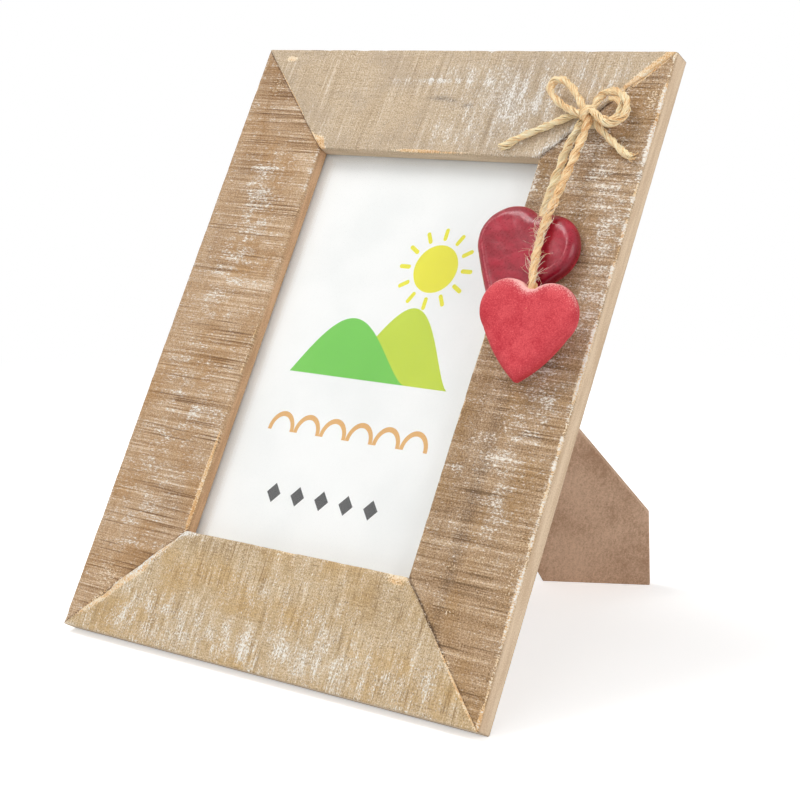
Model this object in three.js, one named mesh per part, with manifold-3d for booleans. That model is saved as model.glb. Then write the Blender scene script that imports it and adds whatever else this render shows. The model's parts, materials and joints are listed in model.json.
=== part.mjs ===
// A table photo frame of mitred reclaimed timber, propped on a fibreboard strut,
// with a twine bow and two hanging wooden hearts on its face.
// Millimetres and degrees. +Z is up, the picture faces -Y, the frame stands on z = 0.

import * as THREE from 'three';
import { mergeVertices } from 'three/addons/utils/BufferGeometryUtils.js';
import Module from 'manifold-3d';

// Timber frame
const OPENING_WIDTH = 96;
const OPENING_HEIGHT = 148;
const RAIL_WIDTH = 41;
const RAIL_DEPTH = 7.5;
const LIP_DEPTH = 5;
const REBATE = 3.4;
const ARRIS = 0.6;
const MITRE_GAP = 0.15;
const LEAN = 30;
const FOOT_FLAT = 0.5;

// Glass, print and back board, from the front to the back
const SHEET_PLAY = 0.3;
const LAYER_GAP = 0.1;
const GLASS_THICKNESS = 1.5;
const PRINT_WIDTH = 101.6;
const PRINT_HEIGHT = 152.4;
const PRINT_THICKNESS = 0.3;
const BOARD_THICKNESS = 2;
const THUMB_NOTCH_RADIUS = 7;

// V-nails across the mitres
const NAIL_LEG = 7;
const NAIL_STRIP = 0.6;
const NAIL_DEPTH = 4.6;
const NAIL_SINK = 0.2;
const NAIL_PLAY = 0.2;
const NAIL_PLACES = [12, 25];

// Turn buttons and their screws
const BUTTON_THICKNESS = 1;
const BUTTON_WIDTH = 8;
const BUTTON_TAIL = 4.2;
const BUTTON_BEND_START = 3.2;
const BUTTON_BEND_END = 4.7;
const BUTTON_REACH = 12;
const BUTTON_LIFT = 0.15;
const PIVOT_INSET = 6;
const SCREW_RADIUS = 1.4;
const SCREW_HEAD_RADIUS = 2.4;
const SCREW_HEAD_HEIGHT = 1.6;
const SCREW_GRIP = 4.8;
const SCREW_PLAY = 0.3;
const SCREW_SLOT_WIDTH = 0.8;
const SCREW_SLOT_DEPTH = 0.7;
const SCREW_DOME_RADIUS = 1.7;
const SCREW_DOME_DROP = 0.2;

// Strut and its hinge
const STRUT_THICKNESS = 3;
const STRUT_FRONT = -0.4;
const STRUT_OPEN = 48.7;
const HINGE_TURN = 38;
const HINGE_X = -30;
const HINGE_Z = 56;
const STRUT_START = 3;
const STRUT_HALF_WIDTH = 9.5;
const STRUT_FLARE = 0.0985;
const STRUT_SHOULDER = 156.5;
const STRUT_TIP_ANGLE = 58.5;
const STRUT_SPARE = 60;
const LEAF_THICKNESS = 0.8;
const LEAF_HALF_WIDTH = 8.5;
const LEAF_LENGTH = 15;
const STRUT_LEAF_LENGTH = 19;
const LEAF_CORNER = 3;
const KNUCKLE_RADIUS = 2.2;
const KNUCKLE_SPLIT = 4.3;
const KNUCKLE_GAP = 0.3;
const PIN_RADIUS = 1.2;
const PIN_PLAY = 0.1;
const PIN_CAP_RADIUS = 1.9;
const PIN_CAP = 0.8;
const HEEL_LENGTH = 7;
const HEEL_GAP = 0.15;
const PIN_RISE = 2.5;
const RIVET_RADIUS = 1.2;
const RIVET_HEAD_RADIUS = 2.4;
const RIVET_HEAD = 1;
const RIVET_DOME_RADIUS = 1.9;
const RIVET_DOME_RISE = 0.6;
const RIVET_TAIL_HEAD = 0.35;
const RIVET_SPREAD = 5;
const RIVET_PLAY = 0.2;
const BOARD_RIVET_BACK = 10;
const STRUT_RIVET_ALONG = 13;

// Places on the face are [right of centre, above centre, in front of the face].
// Hearts: two round lobes with flanks drawn down to a tip, placed by the notch between the lobes
const BACK_HEART = {
  width: 39.1, height: 39.2, lobeRadius: 12.1, swell: 0.56, notch: [59.1, 49.9, 3.9], turn: -9.8, tilt: 0,
};
const FRONT_HEART = {
  width: 36.3, height: 32.9, lobeRadius: 9.96, swell: 1.3, notch: [70.1, 20.3, 12.1], turn: -1.8, tilt: 14,
};
const HEART_THICKNESS = 7;
const HEART_HOLE_DEPTH = 6;
const HEART_HOLE_PLAY = 0.35;
const HEART_POINTS = 56;

// Twine bow and heart cords
const TWINE_RADIUS = 1.2;
const TWINE_SIDES = 8;
const TWINE_RUN_STEP = 5;
const TWINE_LOOP_STEP = 2.6;
const KNOT = [65.1, 88.7, 5];
const KNOT_RADIUS = 3.2;
const KNOT_HALF_DEPTH = 1.7;
const GLUE_RADIUS = 3.4;
const GLUE_TOP_RADIUS = 2.4;
const GLUE_DEPTH = 0.5;

const TAILS_ROUTE = [
  [32.5, 76.6, 1.5], [38, 79.9, 1.6], [44.3, 83.1, 1.7], [49.9, 85.8, 1.8], [54.6, 88.1, 1.9],
  [59, 89.7, 1.9], [62.8, 89.4, 1.9], [66.4, 87.5, 1.9], [72.2, 82.9, 1.9], [77.8, 78.7, 1.8],
  [81.2, 76.3, 1.6], [85, 74.9, 1.5],
];
const LEFT_LOOP_ROUTE = [
  [62, 91.9, 4.6], [59.2, 95.1, 4.7], [55.4, 98.8, 4.8], [51.6, 101, 4.9], [48.9, 101, 4.9],
  [47.6, 98.9, 4.9], [48.4, 96.1, 4.8], [51.8, 93.2, 4.7], [56.1, 90.8, 4.6], [61.3, 88.5, 4.6],
];
const RIGHT_LOOP_ROUTE = [
  [66.9, 92.3, 4.6], [67.9, 95.2, 4.7], [70, 97.5, 4.8], [73.3, 98.1, 4.9], [76.7, 96.3, 4.9],
  [79, 92.8, 4.9], [79.4, 88.9, 4.8], [77.7, 86.4, 4.7], [74.6, 85.1, 4.6], [71.6, 85.7, 4.6],
  [69.4, 87.6, 4.6],
];
const BACK_CORD_ROUTE = [
  [61.6, 84.9, 1.9], [60.3, 81.8, 1.9], [59.2, 76.1, 1.9], [58.6, 67.7, 1.9], [58.3, 59.5, 2.4],
  [58.8, 54.8, 3.3],
];
const FRONT_CORD_ROUTE = [
  [66.3, 85.3, 4.9], [66.3, 82.4, 5], [65.7, 74.6, 5.4], [65.4, 65.7, 6.4], [65.3, 56.7, 8],
  [65.1, 48.7, 9.1], [64.7, 42.9, 9.4], [65.6, 35.5, 9.9], [67.3, 28.6, 11.1], [69.2, 24.6, 12.6],
];

// Sizes that follow from the driving dimensions
const OUTER_WIDTH = OPENING_WIDTH + 2 * RAIL_WIDTH;
const OUTER_HEIGHT = OPENING_HEIGHT + 2 * RAIL_WIDTH;
const POCKET_WIDTH = OPENING_WIDTH + 2 * REBATE;
const POCKET_HEIGHT = OPENING_HEIGHT + 2 * REBATE;
const SHEET_WIDTH = POCKET_WIDTH - 2 * SHEET_PLAY;
const SHEET_HEIGHT = POCKET_HEIGHT - 2 * SHEET_PLAY;
const GLASS_FRONT = LIP_DEPTH + LAYER_GAP;
const PRINT_FRONT = GLASS_FRONT + GLASS_THICKNESS + LAYER_GAP;
const BOARD_FRONT = PRINT_FRONT + PRINT_THICKNESS + LAYER_GAP;
const BOARD_BACK = BOARD_FRONT + BOARD_THICKNESS;
const BUTTON_FRONT = RAIL_DEPTH + BUTTON_LIFT;
const NOSE_FRONT = BOARD_BACK + BUTTON_LIFT;
const STRUT_BACK = STRUT_FRONT + STRUT_THICKNESS;
const STRUT_LEAF_BACK = STRUT_FRONT - LAYER_GAP;
const STRUT_LEAF_FRONT = STRUT_LEAF_BACK - LEAF_THICKNESS;
const BOARD_LEAF_FRONT = LAYER_GAP - PIN_RISE;
const BOARD_LEAF_BACK = BOARD_LEAF_FRONT + LEAF_THICKNESS;
const QUARTER_TURN = Math.PI / 2;
const ROUND_SEGMENTS = 20;

const wasm = await Module();
wasm.setup();

const radians = THREE.MathUtils.degToRad;

// Solids: joining and cutting

function solidOf(geometry) {
  const bare = new THREE.BufferGeometry();
  bare.setAttribute('position', geometry.attributes.position.clone());
  bare.setIndex(geometry.index);
  const merged = mergeVertices(bare);
  const mesh = new wasm.Mesh({
    numProp: 3,
    vertProperties: new Float32Array(merged.attributes.position.array),
    triVerts: new Uint32Array(merged.index.array),
  });
  mesh.merge();
  return new wasm.Manifold(mesh);
}

function geometryOf(solid) {
  const mesh = solid.getMesh();
  const geometry = new THREE.BufferGeometry();
  geometry.setAttribute('position', new THREE.BufferAttribute(mesh.vertProperties, 3));
  geometry.setIndex(new THREE.BufferAttribute(mesh.triVerts, 1));
  geometry.computeVertexNormals();
  return geometry;
}

function cut(geometry, tools) {
  return geometryOf(tools.reduce((solid, tool) => solid.subtract(solidOf(tool)), solidOf(geometry)));
}

function join(geometries) {
  return geometryOf(geometries.map(solidOf).reduce((whole, next) => whole.add(next)));
}

function common(first, second) {
  return geometryOf(solidOf(first).intersect(solidOf(second)));
}

// Basic shapes. Outlines are drawn in x and z, and thickness runs along y.

function plate(outline, front, back) {
  const settings = { depth: back - front, bevelEnabled: false, curveSegments: ROUND_SEGMENTS / 2 };
  const geometry = new THREE.ExtrudeGeometry(outline, settings);
  return geometry.rotateX(QUARTER_TURN).translate(0, back, 0);
}

function polygon(points) {
  return new THREE.Shape(points.map(([x, z]) => new THREE.Vector2(x, z)));
}

function rectangle(left, bottom, right, top) {
  return polygon([[left, bottom], [right, bottom], [right, top], [left, top]]);
}

function roundHole(x, z, radius) {
  return new THREE.Path().absarc(x, z, radius, 0, 2 * Math.PI, false);
}

function rod(radius, front, back) {
  const geometry = new THREE.CylinderGeometry(radius, radius, back - front, ROUND_SEGMENTS);
  return geometry.translate(0, (front + back) / 2, 0);
}

function turned(profile) {
  const points = profile.map(([radius, y]) => new THREE.Vector2(radius, y));
  return new THREE.LatheGeometry(points, ROUND_SEGMENTS);
}

function piece(name, geometry, colour, roughness, metalness = 0) {
  const material = new THREE.MeshStandardMaterial({ color: colour, roughness, metalness });
  const mesh = new THREE.Mesh(geometry, material);
  mesh.name = name;
  return mesh;
}

const steelPiece = (name, geometry) => piece(name, geometry, 0xb9b6ae, 0.35, 1);
const twinePiece = (name, geometry) => piece(name, geometry, 0xd8b682, 0.95);
const boardPiece = (name, geometry) => piece(name, geometry, 0xa8896f, 0.9);

// The frame leans back about its bottom edge, with its lowest arris planed flat on the table

const frame = new THREE.Group();
frame.rotation.x = -radians(LEAN);
frame.position.z =
  (OUTER_HEIGHT / 2) * Math.cos(radians(LEAN)) + RAIL_DEPTH * Math.sin(radians(LEAN)) - FOOT_FLAT;
frame.updateMatrixWorld();

function trimAtTable(geometry, toWorld) {
  const size = 4 * OUTER_HEIGHT;
  const table = new THREE.BoxGeometry(size, size, size).translate(0, 0, -size / 2);
  return cut(geometry.applyMatrix4(toWorld), [table]).applyMatrix4(toWorld.clone().invert());
}

// V-nails: an L of strip steel at each of two places along every mitre

function nailOutline(grow) {
  const near = -grow;
  const far = NAIL_LEG + grow;
  const inner = NAIL_STRIP + grow;
  return polygon([[near, -near], [near, -far], [inner, -far], [inner, -inner], [far, -inner], [far, -near]]);
}

const CORNERS = [
  { name: 'top_left', side: -1, end: 1, turn: 0 },
  { name: 'top_right', side: 1, end: 1, turn: QUARTER_TURN },
  { name: 'bottom_right', side: 1, end: -1, turn: 2 * QUARTER_TURN },
  { name: 'bottom_left', side: -1, end: -1, turn: 3 * QUARTER_TURN },
];

function atMitre(geometry, corner, across) {
  const x = corner.side * (OUTER_WIDTH / 2 - across);
  const z = corner.end * (OUTER_HEIGHT / 2 - across);
  return geometry.rotateY(corner.turn).translate(x, 0, z);
}

const nailBack = RAIL_DEPTH - NAIL_SINK;
const nailSlots = [];
for (const corner of CORNERS) {
  NAIL_PLACES.forEach((across, i) => {
    const nail = plate(nailOutline(0), nailBack - NAIL_DEPTH, nailBack);
    const slot = plate(nailOutline(NAIL_PLAY), nailBack - NAIL_DEPTH - NAIL_PLAY, RAIL_DEPTH + NAIL_SINK);
    nailSlots.push(atMitre(slot, corner, across));
    frame.add(steelPiece(`v_nail_${corner.name}_${i + 1}`, atMitre(nail, corner, across)));
  });
}

// Turn buttons: where each pivots on the back, and which way its nose points

const pivotX = POCKET_WIDTH / 2 + PIVOT_INSET;
const pivotZ = POCKET_HEIGHT / 2 + PIVOT_INSET;
const BUTTONS = [
  { name: 'left', x: -pivotX, z: 0, turn: 0 },
  { name: 'right', x: pivotX, z: 20, turn: 2 * QUARTER_TURN },
  { name: 'top', x: 10, z: pivotZ, turn: QUARTER_TURN },
  { name: 'bottom', x: -6, z: -pivotZ, turn: -QUARTER_TURN },
];

function turnButton() {
  const thick = BUTTON_THICKNESS;
  const half = BUTTON_WIDTH / 2;
  const backBend = thick / 2;
  const bent = polygon([
    [-BUTTON_TAIL, BUTTON_FRONT], [BUTTON_BEND_START, BUTTON_FRONT], [BUTTON_BEND_END, NOSE_FRONT],
    [BUTTON_REACH, NOSE_FRONT], [BUTTON_REACH, NOSE_FRONT + thick],
    [BUTTON_BEND_END - backBend, NOSE_FRONT + thick], [BUTTON_BEND_START - backBend, BUTTON_FRONT + thick],
    [-BUTTON_TAIL, BUTTON_FRONT + thick],
  ]);
  const strip = new THREE.ExtrudeGeometry(bent, { depth: BUTTON_WIDTH, bevelEnabled: false });
  strip.translate(0, 0, -half);
  const roundEnded = new THREE.Shape()
    .absarc(half - BUTTON_TAIL, 0, half, QUARTER_TURN, 3 * QUARTER_TURN, false)
    .absarc(BUTTON_REACH - half, 0, half, -QUARTER_TURN, QUARTER_TURN, false);
  const blank = common(strip, plate(roundEnded, 0, NOSE_FRONT + 2 * thick));
  return cut(blank, [rod(SCREW_RADIUS + SCREW_PLAY, 0, NOSE_FRONT)]);
}

function buttonScrew() {
  const seat = BUTTON_FRONT + BUTTON_THICKNESS + BUTTON_LIFT;
  const top = seat + SCREW_HEAD_HEIGHT;
  const tip = RAIL_DEPTH - SCREW_GRIP;
  const body = turned([
    [0, tip], [SCREW_RADIUS, tip + SCREW_RADIUS], [SCREW_RADIUS, seat], [SCREW_HEAD_RADIUS, seat],
    [SCREW_HEAD_RADIUS, seat + SCREW_HEAD_HEIGHT / 2], [SCREW_DOME_RADIUS, top - SCREW_DOME_DROP], [0, top],
  ]);
  const slot = new THREE.BoxGeometry(SCREW_SLOT_WIDTH, 2 * SCREW_SLOT_DEPTH, 3 * SCREW_HEAD_RADIUS);
  return cut(body, [slot.translate(0, top, 0)]);
}

const screwHoles = [];
for (const place of BUTTONS) {
  const holeEnd = RAIL_DEPTH - SCREW_GRIP - SCREW_PLAY;
  const hole = rod(SCREW_RADIUS + SCREW_PLAY, holeEnd, RAIL_DEPTH + SCREW_RADIUS);
  screwHoles.push(hole.translate(place.x, 0, place.z));
  const pivot = new THREE.Group();
  pivot.position.set(place.x, 0, place.z);
  pivot.rotation.y = place.turn;
  pivot.add(steelPiece(`turn_button_${place.name}`, turnButton()));
  pivot.add(steelPiece(`turn_button_screw_${place.name}`, buttonScrew()));
  frame.add(pivot);
}

// Rails: a rebated section whose two ends slide along the rail into the mitre planes

function railGeometry(outerLength) {
  const inner = RAIL_WIDTH - REBATE;
  const section = polygon([
    [ARRIS, 0], [RAIL_WIDTH - ARRIS, 0], [RAIL_WIDTH, ARRIS], [RAIL_WIDTH, LIP_DEPTH], [inner, LIP_DEPTH],
    [inner, RAIL_DEPTH], [ARRIS, RAIL_DEPTH], [0, RAIL_DEPTH - ARRIS], [0, ARRIS],
  ]);
  const geometry = new THREE.ExtrudeGeometry(section, { depth: 2, bevelEnabled: false });
  const places = geometry.attributes.position;
  for (let i = 0; i < places.count; i += 1) {
    const across = places.getX(i);
    const end = places.getZ(i) - 1;
    places.setXYZ(i, end * (outerLength / 2 - across - MITRE_GAP), places.getY(i), -across);
  }
  return geometry;
}

const halfWidth = OUTER_WIDTH / 2;
const halfHeight = OUTER_HEIGHT / 2;
const RAILS = [
  { name: 'top_rail', length: OUTER_WIDTH, reach: halfHeight, turn: 0, colour: 0xaf9a80 },
  { name: 'right_stile', length: OUTER_HEIGHT, reach: halfWidth, turn: QUARTER_TURN, colour: 0x97795a },
  { name: 'bottom_rail', length: OUTER_WIDTH, reach: halfHeight, turn: 2 * QUARTER_TURN, colour: 0xad9670 },
  { name: 'left_stile', length: OUTER_HEIGHT, reach: halfWidth, turn: 3 * QUARTER_TURN, colour: 0x9b7d5f },
];

for (const rail of RAILS) {
  const blank = railGeometry(rail.length).translate(0, 0, rail.reach).rotateY(rail.turn);
  const drilled = cut(blank, [...nailSlots, ...screwHoles]);
  frame.add(piece(rail.name, trimAtTable(drilled, frame.matrixWorld), rail.colour, 0.9));
}

// Glass, print and back board

function sheet(width, height) {
  return rectangle(-width / 2, -height / 2, width / 2, height / 2);
}

// Holes for the hinge rivets, in the frame's own x and z
const hingeAlong = new THREE.Vector2(Math.sin(radians(HINGE_TURN)), -Math.cos(radians(HINGE_TURN)));
const hingeAcross = new THREE.Vector2(Math.cos(radians(HINGE_TURN)), Math.sin(radians(HINGE_TURN)));

function onBoard(along, across) {
  const spot = new THREE.Vector2(HINGE_X, HINGE_Z);
  return spot.addScaledVector(hingeAlong, along).addScaledVector(hingeAcross, across);
}

function backBoard() {
  const right = SHEET_WIDTH / 2;
  const top = SHEET_HEIGHT / 2;
  const outline = new THREE.Shape()
    .moveTo(-right, -top)
    .lineTo(-THUMB_NOTCH_RADIUS, -top)
    .absarc(0, -top, THUMB_NOTCH_RADIUS, Math.PI, 0, true)
    .lineTo(right, -top)
    .lineTo(right, top)
    .lineTo(-right, top);
  for (const across of [-RIVET_SPREAD, RIVET_SPREAD]) {
    const spot = onBoard(-BOARD_RIVET_BACK, across);
    outline.holes.push(roundHole(spot.x, spot.y, RIVET_RADIUS + RIVET_PLAY));
  }
  return plate(outline, BOARD_FRONT, BOARD_BACK);
}

const glass = plate(sheet(SHEET_WIDTH, SHEET_HEIGHT), GLASS_FRONT, GLASS_FRONT + GLASS_THICKNESS);
const print = plate(sheet(PRINT_WIDTH, PRINT_HEIGHT), PRINT_FRONT, PRINT_FRONT + PRINT_THICKNESS);
frame.add(piece('glass_pane', glass, 0xe8f0ee, 0.05));
frame.add(piece('photo_insert', print, 0xf4f4f2, 0.6));
frame.add(boardPiece('back_board', backBoard()));

// Strut hinge. In the hinge's own frame x runs down the closed strut, y points out of the back
// and z runs along the pin, with the pin's centre at the origin.

const hinge = new THREE.Group();
hinge.position.set(HINGE_X, BOARD_BACK + PIN_RISE, HINGE_Z);
hinge.rotation.y = QUARTER_TURN - radians(HINGE_TURN);
frame.add(hinge);
const swing = new THREE.Group();
swing.rotation.z = radians(STRUT_OPEN);
hinge.add(swing);
swing.updateWorldMatrix(true, false);

function knuckle(radius, from, to) {
  return rod(radius, from, to).rotateX(QUARTER_TURN);
}

function leafOutline(from, to) {
  const half = LEAF_HALF_WIDTH;
  const end = Math.sign(to - from) * LEAF_CORNER;
  return polygon([[from, -half], [to - end, -half], [to, LEAF_CORNER - half], [to, half - LEAF_CORNER],
    [to - end, half], [from, half]]);
}

function rivetHoles(outline, along) {
  for (const across of [-RIVET_SPREAD, RIVET_SPREAD]) {
    outline.holes.push(roundHole(along, across, RIVET_RADIUS + RIVET_PLAY));
  }
  return outline;
}

function boardLeaf() {
  const outline = rivetHoles(leafOutline(0, -LEAF_LENGTH), -BOARD_RIVET_BACK);
  const flat = plate(outline, BOARD_LEAF_FRONT, BOARD_LEAF_BACK);
  const outer = [[-LEAF_HALF_WIDTH, -KNUCKLE_SPLIT], [KNUCKLE_SPLIT, LEAF_HALF_WIDTH]];
  const knuckles = outer.map(([from, to]) => knuckle(KNUCKLE_RADIUS, from, to));
  const clear = KNUCKLE_RADIUS + KNUCKLE_GAP;
  const gap = rectangle(-clear, -KNUCKLE_SPLIT, clear, KNUCKLE_SPLIT);
  const bore = knuckle(PIN_RADIUS + PIN_PLAY, -2 * LEAF_HALF_WIDTH, 2 * LEAF_HALF_WIDTH);
  return cut(join([flat, ...knuckles]), [plate(gap, -PIN_RISE, PIN_RISE), bore]);
}

function strutLeaf() {
  const half = KNUCKLE_SPLIT - KNUCKLE_GAP;
  const clear = KNUCKLE_RADIUS + KNUCKLE_GAP;
  const outline = rivetHoles(leafOutline(clear, STRUT_LEAF_LENGTH), STRUT_RIVET_ALONG);
  const flat = plate(outline, STRUT_LEAF_FRONT, STRUT_LEAF_BACK);
  const neck = plate(rectangle(0, -half, 2 * clear, half), STRUT_LEAF_FRONT, STRUT_LEAF_BACK);
  const heelFront = BOARD_LEAF_BACK + HEEL_GAP;
  const heel = plate(rectangle(-HEEL_LENGTH, -half, 0, half), heelFront, heelFront + LEAF_THICKNESS);
  heel.rotateZ(-radians(STRUT_OPEN));
  const bore = knuckle(PIN_RADIUS + PIN_PLAY, -LEAF_HALF_WIDTH, LEAF_HALF_WIDTH);
  return cut(join([flat, neck, heel, knuckle(KNUCKLE_RADIUS, -half, half)]), [bore]);
}

function hingePin() {
  const half = LEAF_HALF_WIDTH + KNUCKLE_GAP;
  return turned([
    [0, -half - PIN_CAP], [PIN_CAP_RADIUS, -half - PIN_CAP / 2], [PIN_CAP_RADIUS, -half], [PIN_RADIUS, -half],
    [PIN_RADIUS, half], [PIN_CAP_RADIUS, half], [PIN_CAP_RADIUS, half + PIN_CAP / 2], [0, half + PIN_CAP],
  ]).rotateX(QUARTER_TURN);
}

// A rivet with a domed head above `seat` and its tail closed over at `tail`
function rivet(tail, seat, tailHead) {
  const foot = tailHead ? [[RIVET_HEAD_RADIUS, tail - tailHead], [RIVET_HEAD_RADIUS, tail]] : [];
  const start = tail - tailHead;
  return turned([
    [0, start], ...foot, [RIVET_RADIUS, tail], [RIVET_RADIUS, seat], [RIVET_HEAD_RADIUS, seat],
    [RIVET_DOME_RADIUS, seat + RIVET_DOME_RISE], [0, seat + RIVET_HEAD],
  ]);
}

hinge.add(steelPiece('hinge_board_leaf', boardLeaf()));
hinge.add(steelPiece('hinge_pin', hingePin()));
swing.add(steelPiece('hinge_strut_leaf', strutLeaf()));

for (const [name, across] of [['left', -RIVET_SPREAD], ['right', RIVET_SPREAD]]) {
  const inBoard = rivet(-PIN_RISE - BOARD_THICKNESS, BOARD_LEAF_BACK + LAYER_GAP, 0);
  const inStrut = rivet(STRUT_LEAF_FRONT - LAYER_GAP, STRUT_BACK + LAYER_GAP, RIVET_TAIL_HEAD);
  hinge.add(steelPiece(`board_rivet_${name}`, inBoard.translate(-BOARD_RIVET_BACK, 0, across)));
  swing.add(steelPiece(`strut_rivet_${name}`, inStrut.translate(STRUT_RIVET_ALONG, 0, across)));
}

// Strut: flares towards its foot, where one edge is square to the frame's side
// and the other is trimmed to stand flat on the table

function strut() {
  const half = (along) => STRUT_HALF_WIDTH + STRUT_FLARE * along;
  const far = STRUT_SHOULDER + STRUT_SPARE;
  const shoulder = half(STRUT_SHOULDER);
  const slope = Math.tan(radians(STRUT_TIP_ANGLE));
  const outline = rivetHoles(polygon([
    [STRUT_START, -half(STRUT_START)], [far, -half(far)], [far, shoulder - STRUT_SPARE / slope],
    [STRUT_SHOULDER, shoulder], [STRUT_START, half(STRUT_START)],
  ]), STRUT_RIVET_ALONG);
  return trimAtTable(plate(outline, STRUT_FRONT, STRUT_BACK), swing.matrixWorld);
}

swing.add(boardPiece('strut', strut()));

// Hearts: rings of the outline, drawn in towards the middle, from the back face to the front face

function heartOutline(size) {
  const radius = size.lobeRadius;
  const offset = size.width / 2 - radius;
  const tip = new THREE.Vector2(0, radius - size.height);
  const notch = Math.PI - Math.acos(offset / radius);
  const touch = Math.atan2(tip.y, -offset) + Math.acos(radius / Math.hypot(offset, tip.y));
  const outward = new THREE.Vector2(Math.cos(touch), Math.sin(touch));
  const shoulder = new THREE.Vector2(offset, 0).addScaledVector(outward, radius);
  const bulge = shoulder.clone().lerp(tip, 0.5).addScaledVector(outward, 2 * size.swell);
  const shape = new THREE.Shape()
    .absarc(offset, 0, radius, notch, touch, true)
    .quadraticCurveTo(bulge.x, bulge.y, tip.x, tip.y)
    .quadraticCurveTo(-bulge.x, bulge.y, -shoulder.x, shoulder.y)
    .absarc(-offset, 0, radius, Math.PI - touch, Math.PI - notch, true);
  const notchPoint = new THREE.Vector2(0, radius * Math.sin(notch));
  return shape.getSpacedPoints(HEART_POINTS).slice(0, -1).map((point) => point.sub(notchPoint));
}

// Each ring: how far it reaches towards the outline, and its share of the half thickness
const HEART_EDGE = [[0.55, 1], [0.8, 0.95], [0.93, 0.78], [0.99, 0.42]];
const HEART_RINGS = [
  ...HEART_EDGE.map(([reach, level]) => [reach, -level]), [1, 0], ...HEART_EDGE.toReversed(),
];

function heartGeometry(size) {
  const outline = heartOutline(size);
  const middle = new THREE.Vector2(0, -size.height / 3);
  const half = HEART_THICKNESS / 2;
  const count = outline.length;
  const places = [middle.x, half, middle.y];
  for (const [reach, level] of HEART_RINGS) {
    for (const point of outline) {
      const spot = middle.clone().lerp(point, reach);
      places.push(spot.x, -level * half, spot.y);
    }
  }
  places.push(middle.x, -half, middle.y);
  const last = places.length / 3 - 1;
  const faces = [];
  for (let i = 0; i < count; i += 1) {
    const next = (i + 1) % count;
    faces.push(0, 1 + i, 1 + next);
    for (let ring = 0; ring < HEART_RINGS.length - 1; ring += 1) {
      const here = 1 + ring * count;
      const above = here + count;
      faces.push(here + i, above + i, above + next, here + i, above + next, here + next);
    }
    faces.push(last, last - count + next, last - count + i);
  }
  const geometry = new THREE.BufferGeometry();
  geometry.setAttribute('position', new THREE.Float32BufferAttribute(places, 3));
  geometry.setIndex(faces);
  const hole = rod(TWINE_RADIUS + HEART_HOLE_PLAY, -HEART_HOLE_DEPTH, HEART_HOLE_DEPTH);
  return cut(geometry, [hole.rotateX(QUARTER_TURN)]);
}

function onFace([x, z, rise]) {
  return new THREE.Vector3(x, -rise, z);
}

function heart(name, size, colour, roughness) {
  const mesh = piece(name, heartGeometry(size), colour, roughness);
  mesh.position.copy(onFace(size.notch));
  mesh.rotation.set(radians(size.tilt), -radians(size.turn), 0, 'YXZ');
  mesh.updateMatrix();
  return mesh;
}

const backHeart = heart('heart_back', BACK_HEART, 0x97243c, 0.25);
const frontHeart = heart('heart_front', FRONT_HEART, 0xcd4150, 0.8);
frame.add(backHeart, frontHeart);

// Twine: tubes along hand-laid routes, a knot they all meet, and the glue under it

function twine(route, spacing) {
  const curve = new THREE.CatmullRomCurve3(route, false, 'centripetal');
  const section = new THREE.Shape();
  for (let i = 0; i < TWINE_SIDES; i += 1) {
    const angle = (2 * Math.PI * i) / TWINE_SIDES;
    const corner = [TWINE_RADIUS * Math.cos(angle), TWINE_RADIUS * Math.sin(angle)];
    if (i === 0) section.moveTo(...corner);
    else section.lineTo(...corner);
  }
  const steps = Math.round(curve.getLength() / spacing);
  return new THREE.ExtrudeGeometry(section, { steps, extrudePath: curve, bevelEnabled: false });
}

// A heart cord ends inside the heart's hole, on the hole's own line
function intoHole(route, mesh) {
  const mouth = new THREE.Vector3(0, 0, TWINE_RADIUS).applyMatrix4(mesh.matrix);
  const bottom = new THREE.Vector3(0, 0, TWINE_RADIUS - HEART_HOLE_DEPTH).applyMatrix4(mesh.matrix);
  return [...route.map(onFace), mouth, bottom];
}

frame.add(twinePiece('bow_tails', twine(TAILS_ROUTE.map(onFace), TWINE_RUN_STEP)));
frame.add(twinePiece('bow_loop_left', twine(LEFT_LOOP_ROUTE.map(onFace), TWINE_LOOP_STEP)));
frame.add(twinePiece('bow_loop_right', twine(RIGHT_LOOP_ROUTE.map(onFace), TWINE_LOOP_STEP)));
frame.add(twinePiece('heart_cord_back', twine(intoHole(BACK_CORD_ROUTE, backHeart), TWINE_RUN_STEP)));
frame.add(twinePiece('heart_cord_front', twine(intoHole(FRONT_CORD_ROUTE, frontHeart), TWINE_RUN_STEP)));

const knot = new THREE.SphereGeometry(1, ROUND_SEGMENTS, ROUND_SEGMENTS / 2);
knot.scale(KNOT_RADIUS, KNOT_HALF_DEPTH, KNOT_RADIUS);
const knotMesh = twinePiece('bow_knot', knot);
knotMesh.position.copy(onFace(KNOT));
frame.add(knotMesh);

const glue = turned([
  [0, -GLUE_DEPTH], [GLUE_TOP_RADIUS, -GLUE_DEPTH], [GLUE_RADIUS, -LAYER_GAP], [0, -LAYER_GAP],
]);
const glueMesh = piece('bow_glue_pad', glue, 0xe6e0cf, 0.3);
glueMesh.position.set(KNOT[0], 0, KNOT[1]);
frame.add(glueMesh);

// The origin sits on the table under the middle of the whole object

const heartFrame = new THREE.Group();
heartFrame.add(frame);
const box = new THREE.Box3().setFromObject(heartFrame, true);
frame.position.x -= (box.min.x + box.max.x) / 2;
frame.position.y -= (box.min.y + box.max.y) / 2;

export default heartFrame;
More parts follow.
